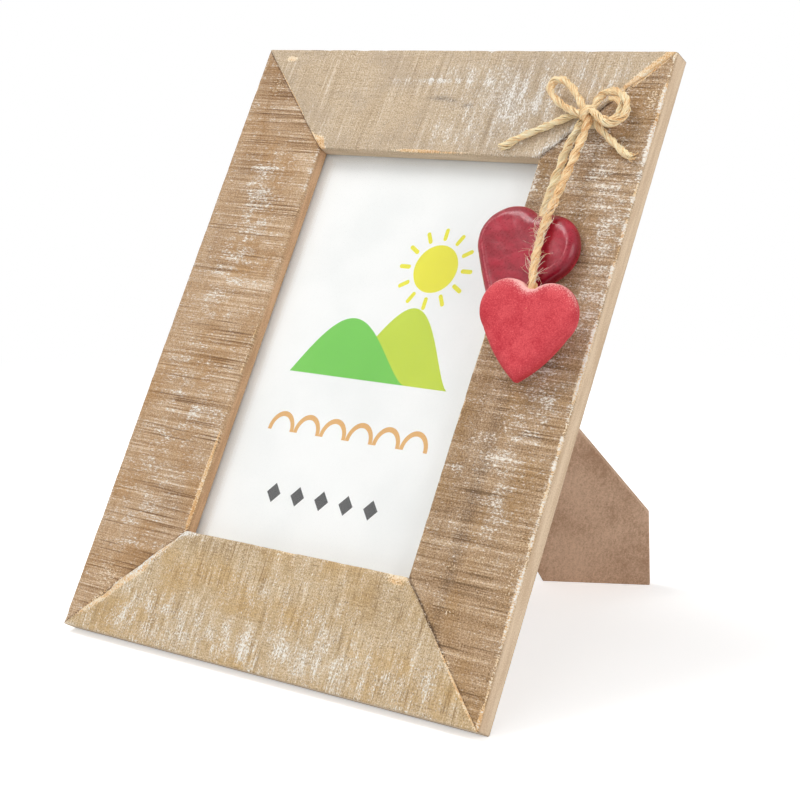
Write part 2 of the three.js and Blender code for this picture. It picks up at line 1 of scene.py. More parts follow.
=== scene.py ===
"""Looks of a heart motif photo frame: sawn timber rails, twine bow, painted hearts, glass and back."""
import json
import math
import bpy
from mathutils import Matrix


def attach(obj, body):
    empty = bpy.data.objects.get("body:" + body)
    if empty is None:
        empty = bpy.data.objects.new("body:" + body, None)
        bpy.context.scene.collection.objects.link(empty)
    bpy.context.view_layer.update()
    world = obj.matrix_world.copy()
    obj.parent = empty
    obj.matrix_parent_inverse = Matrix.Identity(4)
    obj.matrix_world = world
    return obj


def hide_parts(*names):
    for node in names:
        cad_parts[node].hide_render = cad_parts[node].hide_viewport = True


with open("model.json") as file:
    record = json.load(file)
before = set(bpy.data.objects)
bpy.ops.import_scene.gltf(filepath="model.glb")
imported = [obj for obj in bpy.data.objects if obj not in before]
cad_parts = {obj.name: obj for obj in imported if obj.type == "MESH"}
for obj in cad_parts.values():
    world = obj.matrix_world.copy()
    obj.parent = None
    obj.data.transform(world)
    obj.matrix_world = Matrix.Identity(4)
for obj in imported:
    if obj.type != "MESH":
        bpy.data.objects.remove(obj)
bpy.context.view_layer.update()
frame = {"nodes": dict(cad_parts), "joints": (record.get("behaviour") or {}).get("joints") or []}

from types import SimpleNamespace

import bmesh
import bpy
import numpy as np

MM = 0.001

# Timber sizes in millimetres; the solids are 0.3 deeper, with slots for the nails
OUTER_WIDTH = 178
OUTER_HEIGHT = 230
RAIL_WIDTH = 41
RAIL_DEPTH = 7.2
LIP_DEPTH = 5
REBATE = 3.4
ARRIS = 0.6
MITRE_GAP = 0.12
PRINT_FRONT = 6.7

# Hearts, as the solids have them, apart from how far the scene fills the notch
HEART_THICKNESS = 7
BACK_HEART = SimpleNamespace(
    width=39.1, height=39.2, lobe=12.1, swell=0.56, notch=(59.1, 49.9, 3.9), turn=9.8, tilt=0, fill=0.8,
)
FRONT_HEART = SimpleNamespace(
    width=36.3, height=32.9, lobe=9.96, swell=1.3, notch=(70.1, 20.3, 12.1), turn=1.8, tilt=14, fill=1.7,
)
HOLE_MOUTH = 1.2
HOLE_BOTTOM = -4.8

# Twine routes in millimetres, close to the solids': right, up and out of the face
TWINE_RADIUS = 1.28
KNOT = (65.1, 88.7, 4.4)
TAILS_ROUTE = [
    (32.5, 76.6, 1.5), (38, 79.9, 1.6), (44.3, 83.1, 1.7), (49.9, 85.8, 1.8), (54.6, 88.1, 1.9),
    (59, 89.7, 1.9), (62.8, 89.4, 1.9), (66.4, 87.5, 1.9), (72.2, 82.9, 1.9), (77.8, 78.7, 1.8),
    (81.2, 76.3, 1.6), (85, 74.9, 1.5),
]
LEFT_LOOP_ROUTE = [
    (63.4, 90.4, 4.6), (62, 91.9, 4.6), (59.2, 95.1, 4.7), (55.4, 98.8, 4.8), (51.6, 101, 4.9),
    (48.9, 101, 4.9), (47.6, 98.9, 4.9), (48.4, 96.1, 4.8), (51.8, 93.2, 4.7), (56.1, 90.8, 4.6),
    (61.3, 88.7, 5.4), (63.2, 88.4, 5.7),
]
RIGHT_LOOP_ROUTE = [
    (66.2, 90.4, 4.6), (66.9, 92.3, 4.6), (67.9, 94.8, 4.7), (70, 96.7, 4.8), (73.3, 97.1, 4.9),
    (76.7, 95.6, 4.9), (79, 92.8, 4.9), (79.4, 88.9, 4.8), (77.7, 86.4, 4.8), (74.6, 85.2, 5.1),
    (71.6, 86, 5.7), (69.4, 87.9, 6.3), (67.4, 89.1, 6.4),
]
RIGHT_LOOP_INNER_ROUTE = [
    (71.6, 94.6, 4.3), (74, 94.6, 4.4), (76, 93.1, 4.5), (76.9, 90.6, 4.5), (76.2, 88.4, 4.4),
    (74, 87.2, 4.3), (71.4, 87.3, 4.3), (68.9, 88.2, 4.3),
]
BACK_CORD_ROUTE = [
    (62.6, 87, 2.6), (61.6, 84.9, 1.9), (60.3, 81.8, 1.9), (59.2, 76.1, 1.9), (58.6, 67.7, 1.9),
    (58.3, 59.5, 2.4), (58.8, 54.8, 3.3),
]
FRONT_CORD_ROUTE = [
    (66, 87.4, 4.7), (66.3, 85.3, 4.9), (66.3, 82.4, 5), (65.7, 74.6, 5.4), (65.4, 65.7, 6.4),
    (65.3, 56.7, 8), (65.1, 48.7, 9.1), (64.7, 42.9, 9.4), (65.6, 35.5, 9.9), (67.3, 28.6, 11.1),
    (69.2, 24.6, 12.6),
]


def joint(name):
    """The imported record's joint of this name."""
    return next(entry for entry in frame["joints"] if entry["name"] == name)


# The face's directions and middle, from the joints that lie on it
FACE_RIGHT = np.array([1.0, 0.0, 0.0])
FACE_OUT = np.array(joint("heart_front_swing")["axis"])
FACE_UP = np.cross(FACE_OUT, FACE_RIGHT)
FACE_MIDDLE = np.array(joint("turn_button_left_swivel")["pos_m"]) * (0, 1, 1)


def to_world(points):
    """Face places in millimetres as points of the frame in metres."""
    points = np.asarray(points, float)
    axes = np.stack([FACE_RIGHT, FACE_UP, FACE_OUT])
    return FACE_MIDDLE + MM * points @ axes


# Repeatable noise
def lattice(column, row, seed):
    """A random number from -1 to 1 for each whole-numbered place."""
    mixed = (column * 374761393 + row * 668265263 + seed * 974634777) & 0xFFFFFFFF
    mixed = ((mixed ^ (mixed >> 13)) * 1274126177) & 0xFFFFFFFF
    return ((mixed ^ (mixed >> 16)) & 0xFFFF) / 32767.5 - 1


def noise(x, y, seed):
    """Smooth random heights from -1 to 1 over a plane."""
    column = np.floor(x).astype(np.int64)
    row = np.floor(y).astype(np.int64)
    right = x - column
    up = y - row
    right = right * right * (3 - 2 * right)
    up = up * up * (3 - 2 * up)
    low = lattice(column, row, seed) * (1 - right) + lattice(column + 1, row, seed) * right
    high = lattice(column, row + 1, seed) * (1 - right) + lattice(column + 1, row + 1, seed) * right
    return low * (1 - up) + high * up


def fractal(x, y, seed, layers=3):
    """Noise with finer and fainter layers on top."""
    return sum(noise(x * 2**i, y * 2**i, seed + 31 * i) / 2**i for i in range(layers))


def ease(values, low, high):
    """0 below low, 1 above high, and smooth between them."""
    share = np.clip((values - low) / (high - low), 0, 1)
    return share * share * (3 - 2 * share)


# Meshes
def arc(u, v, wide, high, start, end, points):
    """Points along part of an ellipse."""
    return [(u + wide * math.cos(a), v + high * math.sin(a)) for a in np.linspace(start, end, points)]


def add_object(name, data, place=(0, 0, 0), turn=(0, 0, 0)):
    """A new object in the scene."""
    made = bpy.data.objects.new(name, data)
    made.location = place
    made.rotation_euler = turn
    bpy.context.scene.collection.objects.link(made)
    return made


def new_piece(name, points, faces, body, material, replaced=()):
    """A smooth closed mesh at face places, cut off at the floor, riding on a body."""
    places = to_world(points)
    places[:, 2] = np.maximum(places[:, 2], 0)
    mesh = bpy.data.meshes.new(name)
    mesh.from_pydata(places.tolist(), [], faces)
    shape = bmesh.new()
    shape.from_mesh(mesh)
    bmesh.ops.recalc_face_normals(shape, faces=shape.faces)
    shape.to_mesh(mesh)
    shape.free()
    mesh.shade_smooth()
    mesh.materials.append(material)
    piece = add_object(name, mesh)
    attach(piece, body)
    if replaced:
        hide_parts(*replaced)
    return piece


def store(piece, name, values):
    """Keeps a vector or four masks at each point of a piece, for its material."""
    values = np.asarray(values, np.float32)
    kind, field = ("FLOAT_VECTOR", "vector") if values.shape[-1] == 3 else ("FLOAT_COLOR", "color")
    layer = piece.data.attributes.new(name, kind, "POINT")
    layer.data.foreach_set(field, values.ravel())


def ring_faces(low, high, count):
    """Quads between two closed rings, given by each ring's first point."""
    after = [*range(1, count), 0]
    return [(low + i, low + after[i], high + after[i], high + i) for i in range(count)]


def tube_faces(rings, count, start=0):
    """Faces of a closed tube: quads between its rings, then both ends."""
    firsts = [start + ring * count for ring in range(rings)]
    faces = []
    for low, high in zip(firsts, firsts[1:]):
        faces += ring_faces(low, high, count)
    return faces + [tuple(range(first, first + count)) for first in (firsts[0], firsts[-1])]


# Materials
def srgb(red, green, blue):
    """A colour read as 0 to 255 on screen, as a shader value."""
    parts = [part / 255 for part in (red, green, blue)]
    linear = [part / 12.92 if part <= 0.04045 else ((part + 0.055) / 1.055) ** 2.4 for part in parts]
    return (*linear, 1.0)


class Nodes:
    """A node tree, written with short calls."""

    def __init__(self, tree):
        self.tree = tree

    def feed(self, socket, value):
        if isinstance(value, bpy.types.NodeSocket):
            self.tree.links.new(value, socket)
        else:
            socket.default_value = value

    def node(self, kind, settings=None, **inputs):
        made = self.tree.nodes.new("ShaderNode" + kind)
        for key, value in (settings or {}).items():
            setattr(made, key, value)
        for key, value in inputs.items():
            self.feed(made.inputs[key.replace("_", " ")], value)
        return made

    def attribute(self, name):
        return self.node("Attribute", {"attribute_name": name})

    def fed(self, made, *values):
        """A node's first output, with its inputs fed in order."""
        for socket, value in zip(made.inputs, values):
            self.feed(socket, value)
        return made.outputs[0]

    def scaled(self, vector, scale, shift=(0, 0, 0)):
        return self.fed(self.node("VectorMath", {"operation": "MULTIPLY_ADD"}), vector, scale, shift)

    def noise(self, place, scale, detail=2.0, rough=0.55, shift=(0, 0, 0)):
        """Noise over a place, with one scale for every direction or one for each."""
        scale = scale if isinstance(scale, tuple) else (scale, scale, scale)
        vector = self.scaled(place, scale, shift)
        return self.node("TexNoise", Vector=vector, Scale=1.0, Detail=detail, Roughness=rough).outputs[0]

    def math(self, operation, first, second=0.5, third=0.5):
        return self.fed(self.node("Math", {"operation": operation}), first, second, third)

    def times(self, first, second):
        return self.math("MULTIPLY", first, second)

    def most(self, first, *others):
        for other in others:
            first = self.math("MAXIMUM", first, other)
        return first

    def span(self, value, low, high, start=0.0, end=1.0):
        """A smooth step from start to end as a value goes from low to high."""
        made = self.node("MapRange", {"interpolation_type": "SMOOTHSTEP"})
        return self.fed(made, value, low, high, start, end)

    def mix(self, share, first, second):
        made = self.node("Mix", {"data_type": "RGBA"})
        for i, value in ((0, share), (6, first), (7, second)):
            self.feed(made.inputs[i], value)
        return made.outputs[2]

    def blend(self, *parts, total=0.0):
        """A weighted sum of values, given as (value, weight) pairs."""
        for value, weight in parts:
            total = self.math("MULTIPLY_ADD", value, weight, total)
        return total

    def spread(self, *parts):
        """Noises swung about one half, given as (noise, weight) pairs."""
        return self.blend(*parts, total=0.5 - sum(weight for _, weight in parts) / 2)

    def two_tone(self, parts, low, high, dark, light):
        """A dark and a light colour, mixed by a weighted sum of noises."""
        return self.mix(self.span(self.blend(*parts), low, high), srgb(*dark), srgb(*light))

    def ramp(self, share, *stops):
        """A colour ramp through (place, colour) stops."""
        made = self.node("ValToRGB", Fac=share)
        stripes = made.color_ramp.elements
        while len(stripes) < len(stops):
            stripes.new(0.5)
        for stripe, (place, colour) in zip(stripes, stops):
            stripe.position = place
            stripe.color = srgb(*colour)
        return made.outputs[0]

    def seen(self):
        """1 where it is seen straight, mirrored or through glass, 0 where it lights matt things."""
        path = self.node("LightPath").outputs
        seen = self.most(path["Is Camera Ray"], path["Is Glossy Ray"], path["Is Transmission Ray"])
        return self.times(seen, self.math("LESS_THAN", path["Diffuse Depth"], 0.5))


class Finish(Nodes):
    """A material's nodes round one principled shader."""

    def __init__(self, name):
        self.material = bpy.data.materials.new(name)
        self.material.use_nodes = True
        super().__init__(self.material.node_tree)
        self.shader = self.tree.nodes["Principled BSDF"]

    def set(self, **inputs):
        for key, value in inputs.items():
            self.feed(self.shader.inputs[key.replace("_", " ")], value)

    def bump(self, height, distance, strength):
        made = self.node("Bump", Height=height, Strength=strength, Distance=distance)
        self.feed(self.shader.inputs["Normal"], made.outputs[0])

    def mix_in(self, share, shader):
        """Puts another shader in for a share of the rays."""
        mixed = self.fed(self.node("MixShader"), share, self.shader.outputs[0], shader.outputs[0])
        self.feed(self.tree.nodes["Material Output"].inputs["Surface"], mixed)


RAW_WOOD = ((0.2, (204, 146, 90)), (0.45, (234, 194, 140)), (0.7, (248, 232, 204)))


def timber_noises(finish, look):
    """The patterns of a rail's wood, measured along the rail and across it."""
    place = finish.attribute("rail_place").outputs["Vector"]
    shift = (look.seed * 37.0, look.seed * 53.0, 0.0)

    def pattern(along, across, detail=2.0, rough=0.6):
        return finish.noise(place, (along, across, 0.3), detail, rough, shift)

    return SimpleNamespace(
        saw=pattern(0.5, look.run, 3.0), hair=pattern(1.6, 2 * look.run), crack=pattern(0.22, 1.5),
        grain=pattern(0.04, 0.4, 3.0), blotch=pattern(0.05, 0.06, 3.0), fine=pattern(2.2, 1.8, 1.0),
        chip=pattern(*look.chip, 3.0, 0.75), pit=pattern(1.4, 0.9), swing=pattern(0.07, 0.05),
    )


def old_wood(finish, look, wood, dirt_and_shadow):
    """Sawn wood with stains, and grime with painted shadow by the mitres."""
    lines = finish.spread((wood.saw, look.saw), (wood.hair, look.hair))
    swing = finish.span(wood.swing, 0.36, 0.64, 0.3, 1.5)
    lines = finish.math("MULTIPLY_ADD", finish.math("SUBTRACT", lines, 0.5), swing, 0.5)
    fine, crack = (wood.fine, look.fine), (wood.crack, look.crack)
    tone = finish.spread((lines, 1.0), fine, crack, (wood.grain, 0.25))
    colour = finish.ramp(tone, (0.08, look.dark), (0.5, look.middle), (0.92, look.light))
    stained = finish.ramp(tone, (0.08, look.stain_dark), (0.9, look.stain))
    colour = finish.mix(finish.span(wood.blotch, 0.42, 0.66, 0.0, 0.85), colour, stained)
    # Grime, with painted shadow where the raised rails stand over the stiles
    soil_and_shade = finish.times(dirt_and_shadow, finish.span(tone, 0.85, 0.2, 0.35, 0.95))
    return finish.mix(soil_and_shade, colour, srgb(*look.gloom))


def dark_marks(finish, look, wood, paint):
    """Saw cuts, splits and pits, with more pits where there is paint."""
    cut = finish.span(finish.spread((wood.hair, 1.3), (wood.saw, 0.7)), 0.34, 0.2, 0.0, look.cut)
    split = finish.span(wood.crack, 0.36, 0.27, 0.0, look.split)
    pits = finish.math("MULTIPLY_ADD", paint, -0.07, wood.pit)
    return finish.most(cut, split, finish.span(pits, 0.34, 0.26, 0.0, look.pit))


def with_raw_wood(finish, wood, raw, colour):
    """A colour with fresh wood where the old surface is worn off."""
    edge = finish.spread((wood.chip, 0.9), (wood.fine, 0.5), (wood.blotch, 0.4))
    edge = finish.span(finish.math("MULTIPLY_ADD", raw, 0.7, edge), 0.84, 0.98)
    tone = finish.spread((wood.grain, 1.2), (wood.fine, 0.8), (wood.chip, 0.8))
    return finish.mix(finish.times(edge, 0.9), colour, finish.ramp(tone, *RAW_WOOD))


def weathered_timber(name, look):
    """Sawn boards: saw lines, cracks, stains, raw worn places and caught white paint."""
    finish = Finish(name)
    wear = finish.attribute("rail_wear").outputs
    paint, raw, planed = finish.node("SeparateColor", Color=wear["Color"]).outputs[:3]
    wood = timber_noises(finish, look)
    marks = dark_marks(finish, look, wood, paint)
    colour = old_wood(finish, look, wood, wear["Alpha"])
    colour = finish.mix(marks, colour, srgb(*look.gloom))
    colour = with_raw_wood(finish, wood, raw, colour)
    caught = finish.spread((wood.chip, 1.35), (wood.hair, 0.45), (wood.saw, 0.35))
    caught = finish.math("MULTIPLY_ADD", paint, 0.31, caught)
    wash = finish.span(caught, 0.56, 0.9, 0.0, look.wash)
    fleck = finish.span(caught, 0.77, 0.86)
    for share in (wash, finish.times(fleck, 0.95)):
        colour = finish.mix(share, colour, srgb(*look.paint))
    side_tone = finish.span(finish.spread((wood.grain, 1.2), (wood.fine, 1.0)), 0.25, 0.75)
    side = finish.mix(side_tone, srgb(*look.side_dark), srgb(*look.side))
    finish.set(Base_Color=finish.mix(planed, colour, side), Specular_IOR_Level=0.25)
    finish.set(Roughness=finish.span(fleck, 0.0, 1.0, 0.85, 0.65))
    sawn = ((wood.saw, 0.45), (wood.hair, 0.5), (wood.fine, 0.3))
    height = finish.blend(*sawn, (fleck, 0.2), (marks, -0.4))
    finish.bump(finish.times(height, finish.span(planed, 0.0, 1.0, 1.0, 0.15)), 0.4 * MM, 0.8)
    return finish.material


def jute(name, dark, middle, light):
    """Jute strands in bundles, each of its own tone, with streaks along them."""
    finish = Finish(name)
    place = finish.attribute("cord_place").outputs["Vector"]
    bundle = finish.noise(place, (0.14, 0.05, 1.0), 1.0)
    strand = finish.noise(place, (0.15, 1.0, 1.0), 1.0)
    streak = finish.noise(place, (0.9, 4.0, 1.0), 3.0, 0.7)
    tone = finish.spread((bundle, 0.9), (strand, 1.0), (streak, 1.5))
    colour = finish.ramp(tone, (0.2, dark), (0.5, middle), (0.8, light))
    finish.set(Base_Color=colour, Roughness=0.85, Specular_IOR_Level=0.2)
    finish.bump(streak, 0.05 * MM, 0.8)


def heart_sockets(finish):
    """A heart's place, and its masks for the painted highlight on the top rim, the ridge and the painted
    shade on the bottom edge.
    """
    rim = finish.attribute("heart_rim").outputs["Vector"]
    masks = finish.node("SeparateXYZ", Vector=rim).outputs
    return finish.attribute("heart_place").outputs["Vector"], *masks


def coral_paint(name):
    """Matt mottled paint, with a painted highlight along the top rim and painted shade round the bottom
    edge.
    """
    finish = Finish(name)
    place, highlight_mask, _, shade_mask = heart_sockets(finish)
    speck = finish.noise(place, 2.2, 3.0, 0.7)
    cloud = finish.noise(place, 0.2, 3.0)
    colour = finish.two_tone(((speck, 0.6), (cloud, 0.4)), 0.34, 0.66, (192, 44, 58), (226, 86, 92))
    # Painted shade round the bottom edge
    colour = finish.mix(finish.times(shade_mask, 0.2), colour, srgb(150, 26, 40))
    # Painted highlight along the top rim
    rim_highlight = finish.span(finish.blend((speck, 0.7), (highlight_mask, 0.6)), 0.43, 0.72, 0.0, 0.95)
    colour = finish.mix(rim_highlight, colour, srgb(250, 190, 184))
    finish.set(Base_Color=colour, Roughness=0.62, Specular_IOR_Level=0.3)
    finish.bump(finish.blend((speck, 0.4), (cloud, 1.0)), 0.4 * MM, 0.5)
    return finish.material


def crimson_lacquer(name):
    """Dark glossy lacquer, cloudy underneath, with a painted highlight on the top rim and along the ridge,
    where the lacquer also gathers, and painted shade round the bottom edge.
    """
    finish = Finish(name)
    place, highlight_mask, ridge, shade_mask = heart_sockets(finish)
    speck = finish.noise(place, 1.3, 3.0, 0.7)
    cloud = finish.noise(place, (0.12, 0.22, 0.2), 3.0)
    colour = finish.two_tone(((speck, 0.4), (cloud, 0.6)), 0.36, 0.66, (138, 10, 32), (176, 32, 54))
    # Painted shade round the bottom edge
    colour = finish.mix(finish.times(shade_mask, 0.6), colour, srgb(96, 6, 26))
    # Painted highlight on the top rim and the ridge, where lacquer also gathers
    painted_highlight = finish.span(finish.blend((speck, 0.5), (ridge, 0.5), (highlight_mask, 0.5)), 0.46, 0.85, 0.0, 0.6)
    colour = finish.mix(painted_highlight, colour, srgb(214, 122, 128))
    finish.set(Base_Color=colour, Roughness=finish.span(speck, 0.3, 0.7, 0.26, 0.36))
    finish.set(Specular_IOR_Level=0.25, Coat_Weight=0.3, Coat_Roughness=0.2)
    finish.bump(cloud, 0.5 * MM, 0.2)
    return finish.material


def object_place(finish):
    """Coordinates in millimetres for pieces that keep their own solid."""
    return finish.scaled(finish.node("TexCoord").outputs["Object"], (1 / MM, 1 / MM, 1 / MM))


def fibreboard(name, dark, light):
    """Pressed fibres: fine speckle over slow clouds."""
    finish = Finish(name)
    place = object_place(finish)
    speck = finish.noise(place, 1.6, 3.0, 0.7)
    strand = finish.noise(place, (0.35, 1.8, 0.5))
    cloud = finish.noise(place, 0.05, 3.0)
    colour = finish.two_tone(((speck, 0.4), (strand, 0.2), (cloud, 0.4)), 0.36, 0.64, dark, light)
    finish.set(Base_Color=colour, Roughness=0.8, Specular_IOR_Level=0.25)
    finish.bump(speck, 0.12 * MM, 0.6)
    return finish.material


def zinc(name):
    """Bright zinc plate with faint rolling lines and dull spots."""
    finish = Finish(name)
    place = object_place(finish)
    rolled = finish.noise(place, (0.4, 4.0, 4.0))
    spot = finish.noise(place, 0.5, 3.0)
    colour = finish.two_tone(((rolled, 0.4), (spot, 0.6)), 0.36, 0.66, (150, 150, 148), (206, 204, 196))
    finish.set(Base_Color=colour, Metallic=1.0, Roughness=finish.span(spot, 0.3, 0.7, 0.28, 0.46))
    finish.bump(rolled, 0.05 * MM, 0.4)
    return finish.material


def clear_glass(name):
    """Float glass that lets lamps through to the print."""
    finish = Finish(name)
    finish.set(Base_Color=(0.995, 0.998, 0.996, 1.0), Roughness=0.02, IOR=1.45, Transmission_Weight=1.0)
    passing = finish.node("BsdfTransparent", Color=(0.985, 0.988, 0.986, 1.0))
    path = finish.node("LightPath").outputs
    lighting = finish.math("GREATER_THAN", path["Diffuse Depth"], 0.5)
    finish.mix_in(finish.most(path["Is Shadow Ray"], lighting), passing)
    return finish.material


def card(name, dark, light):
    """Smooth card or ink with a faint tooth."""
    finish = Finish(name)
    place = object_place(finish)
    tooth = finish.noise(place, 2.4)
    cloud = finish.noise(place, 0.03)
    colour = finish.two_tone(((tooth, 0.3), (cloud, 0.7)), 0.35, 0.65, dark, light)
    finish.set(Base_Color=colour, Roughness=0.7, Specular_IOR_Level=0.2)
    finish.bump(tooth, 0.02 * MM, 0.3)
    return finish.material


def melted_glue(name):
    """Milky hot glue."""
    finish = Finish(name)
    cloud = finish.noise(object_place(finish), 0.6)
    finish.set(Base_Color=finish.mix(cloud, srgb(226, 208, 168), srgb(240, 230, 204)), Roughness=0.35)
    return finish.material


# Camera, floor and light
CAMERA_PLACE = (0.386306, -0.51247, 0.206289)
CAMERA_DIP = 8.880
CAMERA_TURN = 35.556
CAMERA_LENS = 82.669
CAMERA_SENSOR = 36
CAMERA_SHIFT = (-0.0708, -0.0918)
CAMERA_NEAR = 0.01
WHITE = (1.0, 1.0, 1.0, 1.0)
FLOOR_GREY = (0.9, 0.9, 0.9, 1.0)
FLOOR_HALF = 4.0
FLOOR_NEAR = 0.22
FLOOR_FAR = 0.6
FLOOR_GLOW = 0.47
WORLD_LIGHT = 0.34
LAMP_AIM = (0.0, 0.0, 0.1)
# Each lamp's name, place, size and watts
LAMPS = [
    ("key_lamp", (-0.825, -0.525, 1.975), 1.05, 25.2),
    ("front_lamp", (0.25, -1.5, 0.9), 0.9, 3.7),
    ("right_lamp", (1.3, -0.3, 0.7), 0.9, 7.5),
]


def set_camera():
    """The photograph's viewing angle."""
    data = bpy.data.cameras.new("camera")
    data.lens = CAMERA_LENS
    data.sensor_width = CAMERA_SENSOR
    data.shift_x, data.shift_y = CAMERA_SHIFT
    data.clip_start = CAMERA_NEAR
    turn = (math.radians(90 - CAMERA_DIP), 0, math.radians(CAMERA_TURN))
    bpy.context.scene.camera = add_object("camera", data, CAMERA_PLACE, turn)


def set_floor():
    """A white floor that keeps the shadow near the object and turns plain white further out."""
    finish = Finish("floor_white")
    place = finish.node("NewGeometry").outputs["Position"]
    distance = finish.node("VectorMath", {"operation": "LENGTH"}, Vector=place).outputs["Value"]
    seen = finish.seen()
    finish.set(Base_Color=FLOOR_GREY, Roughness=0.9)
    finish.set(Emission_Color=WHITE, Emission_Strength=finish.times(seen, FLOOR_GLOW))
    white = finish.node("Emission", Color=WHITE, Strength=1.0)
    finish.mix_in(finish.times(finish.span(distance, FLOOR_NEAR, FLOOR_FAR), seen), white)
    mesh = bpy.data.meshes.new("floor")
    corners = [(x * FLOOR_HALF, y * FLOOR_HALF, 0) for x, y in ((-1, -1), (1, -1), (1, 1), (-1, 1))]
    mesh.from_pydata(corners, [], [(0, 1, 2, 3)])
    mesh.materials.append(finish.material)
    add_object("floor", mesh)


def set_world():
    """Even light from all round, seen as white."""
    world = bpy.data.worlds.new("studio")
    world.use_nodes = True
    bpy.context.scene.world = world
    sky = Nodes(world.node_tree)
    background = world.node_tree.nodes["Background"].inputs
    sky.feed(background["Color"], WHITE)
    sky.feed(background["Strength"], sky.span(sky.seen(), 0.0, 1.0, WORLD_LIGHT, 1.0))


def add_lamp(name, place, size, watts):
    """A square soft box that looks at the object."""
    data = bpy.data.lights.new(name, "AREA")
    data.size = size
    data.energy = watts
    away = np.array(LAMP_AIM) - np.array(place)
    flat = math.hypot(away[0], away[1])
    turn = (math.atan2(flat, -away[2]), 0, math.atan2(-away[0], away[1]))
    add_object(name, data, place, turn)


def set_stage():
    """Camera, floor, world and lamps."""
    set_camera()
    set_floor()
    set_world()
    for lamp in LAMPS:
        add_lamp(*lamp)
    bpy.context.scene.view_settings.view_transform = "Standard"


# Twine
CURVE_CUTS = 40


def between(times, t, first, last, low, high):
    """A straight blend from low to high as t runs between two of the times."""
    return ((times[last] - t) * low + (t - times[first]) * high) / (times[last] - times[first])


def smooth_route(points, step):
    """A centripetal curve through the points, cut into even steps."""
    points = np.asarray(points, float)
    points = np.vstack([2 * points[0] - points[1], points, 2 * points[-1] - points[-2]])
    knots = np.concatenate([[0], np.cumsum(np.sqrt(np.linalg.norm(np.diff(points, axis=0), axis=1)))])
    fine = []
    for i in range(1, len(points) - 2):
        t = np.linspace(knots[i], knots[i + 1], CURVE_CUTS, endpoint=False)[:, None]
        spots = points[i - 1:i + 3]
        times = knots[i - 1:i + 3]
        legs = [between(times, t, k, k + 1, spots[k], spots[k + 1]) for k in range(3)]
        bends = [between(times, t, k, k + 2, legs[k], legs[k + 1]) for k in range(2)]
        fine.append(between(times, t, 1, 2, *bends))
    fine = np.vstack(fine + [points[-2]])
    lengths = route_steps(fine)
    places = np.linspace(0, lengths[-1], max(2, round(lengths[-1] / step)) + 1)
    return np.stack([np.interp(places, lengths, fine[:, k]) for k in range(3)], axis=1)


def route_steps(route):
    """How far along a route each of its points is."""
    return np.concatenate([[0], np.cumsum(np.linalg.norm(np.diff(route, axis=0), axis=1))])


def carried_frames(route):
    """Directions along, beside and over a route, turning as little as they can."""
    along = np.gradient(route, axis=0)
    along /= np.linalg.norm(along, axis=1)[:, None]
    start = np.array([0.0, 0.0, 1.0]) - along[0] * along[0][2]
    beside = [start / np.linalg.norm(start)]
    for direction in along[1:]:
        side = beside[-1] - direction * (beside[-1] @ direction)
        beside.append(side / np.linalg.norm(side))
    beside = np.array(beside)
    return along, beside, np.cross(along, beside)


TWINE_STEP = 0.4
TWIST_PITCH = 13
STRANDS = 22
STRAND_SIDES = 5
STRAND_RING = 0.7
STRAND_RADIUS = 0.23
STRAND_ROW = 9.0
STRAND_SWAY = 0.35
SWAY_RUN = 5
STRAND_WAVE = 0.2
WAVE_RUN = 2
STRAND_SWELL = 0.35
SWELL_RUN = 2.5
PLY_SWELL = 0.2
FRAY = 0.8
FRAY_MOST = 1.3
FRAY_REACH = 5
FRAY_STEPS = 4
END_TAPER = 0.1
# How far apart a strand's sides, the strands and the cords lie in the finish's pattern
SIDE_APART = 0.2
STRAND_APART = 5.3
CORD_APART = 7.0


class Threads:
    """Thin closed tubes gathered into one mesh."""

    def __init__(self):
        self.points, self.faces = [], []

    def add(self, spine, out, side, sizes, corners):
        turn = np.linspace(0, 2 * math.pi, corners, endpoint=False)[None, :, None]
        ring = np.cos(turn) * out[:, None, :] + np.sin(turn) * side[:, None, :]
        tube = spine[:, None, :] + sizes[:, None, None] * ring
        self.faces += tube_faces(len(spine), corners, len(self.points))
        self.points += tube.reshape(-1, 3).tolist()


def twine_strands(route, fullness, seed, frayed):
    """Many thin strands wound round a route, and each point's place on the cord."""
    random = np.random.default_rng(seed)
    along, beside, over = carried_frames(route)
    steps = route_steps(route)
    near_end = 1 - ease(np.minimum(steps, steps[-1] - steps), 0, FRAY_REACH)
    radius = TWINE_RADIUS * fullness
    threads = Threads()
    places = []
    for strand in range(STRANDS):
        first_angle = 2 * math.pi * strand / STRANDS
        row = np.full(len(steps), STRAND_ROW * strand)
        angle = first_angle + 2 * math.pi * steps / TWIST_PITCH
        angle = angle + STRAND_SWAY * noise(steps / SWAY_RUN, row, seed)
        ring = STRAND_RING + PLY_SWELL * math.cos(2 * first_angle)
        ring = ring + STRAND_WAVE * noise(steps / WAVE_RUN, row, seed + 1)
        if frayed:
            ring = ring * (1 + FRAY * random.uniform(0, FRAY_MOST) * near_end)
        swell = 1 + STRAND_SWELL * noise(steps / SWELL_RUN, row, seed + 2)
        size = radius * STRAND_RADIUS * swell * (1 - END_TAPER * near_end)
        out = np.cos(angle)[:, None] * beside + np.sin(angle)[:, None] * over
        side = np.cross(along, out)
        spine = route + radius * ring[:, None] * out
        short = random.integers(0, FRAY_STEPS, 2) if frayed and strand % 2 else (0, 0)
        cut = slice(short[0], len(steps) - short[1])
        threads.add(spine[cut], out[cut], side[cut], size[cut], STRAND_SIDES)
        distance = np.repeat(steps[cut], STRAND_SIDES)
        around = STRAND_APART * strand + np.tile(np.arange(STRAND_SIDES) * SIDE_APART, len(steps[cut]))
        places.append(np.column_stack([distance, around, 0 * distance + CORD_APART * seed]))
    return threads, np.vstack(places)


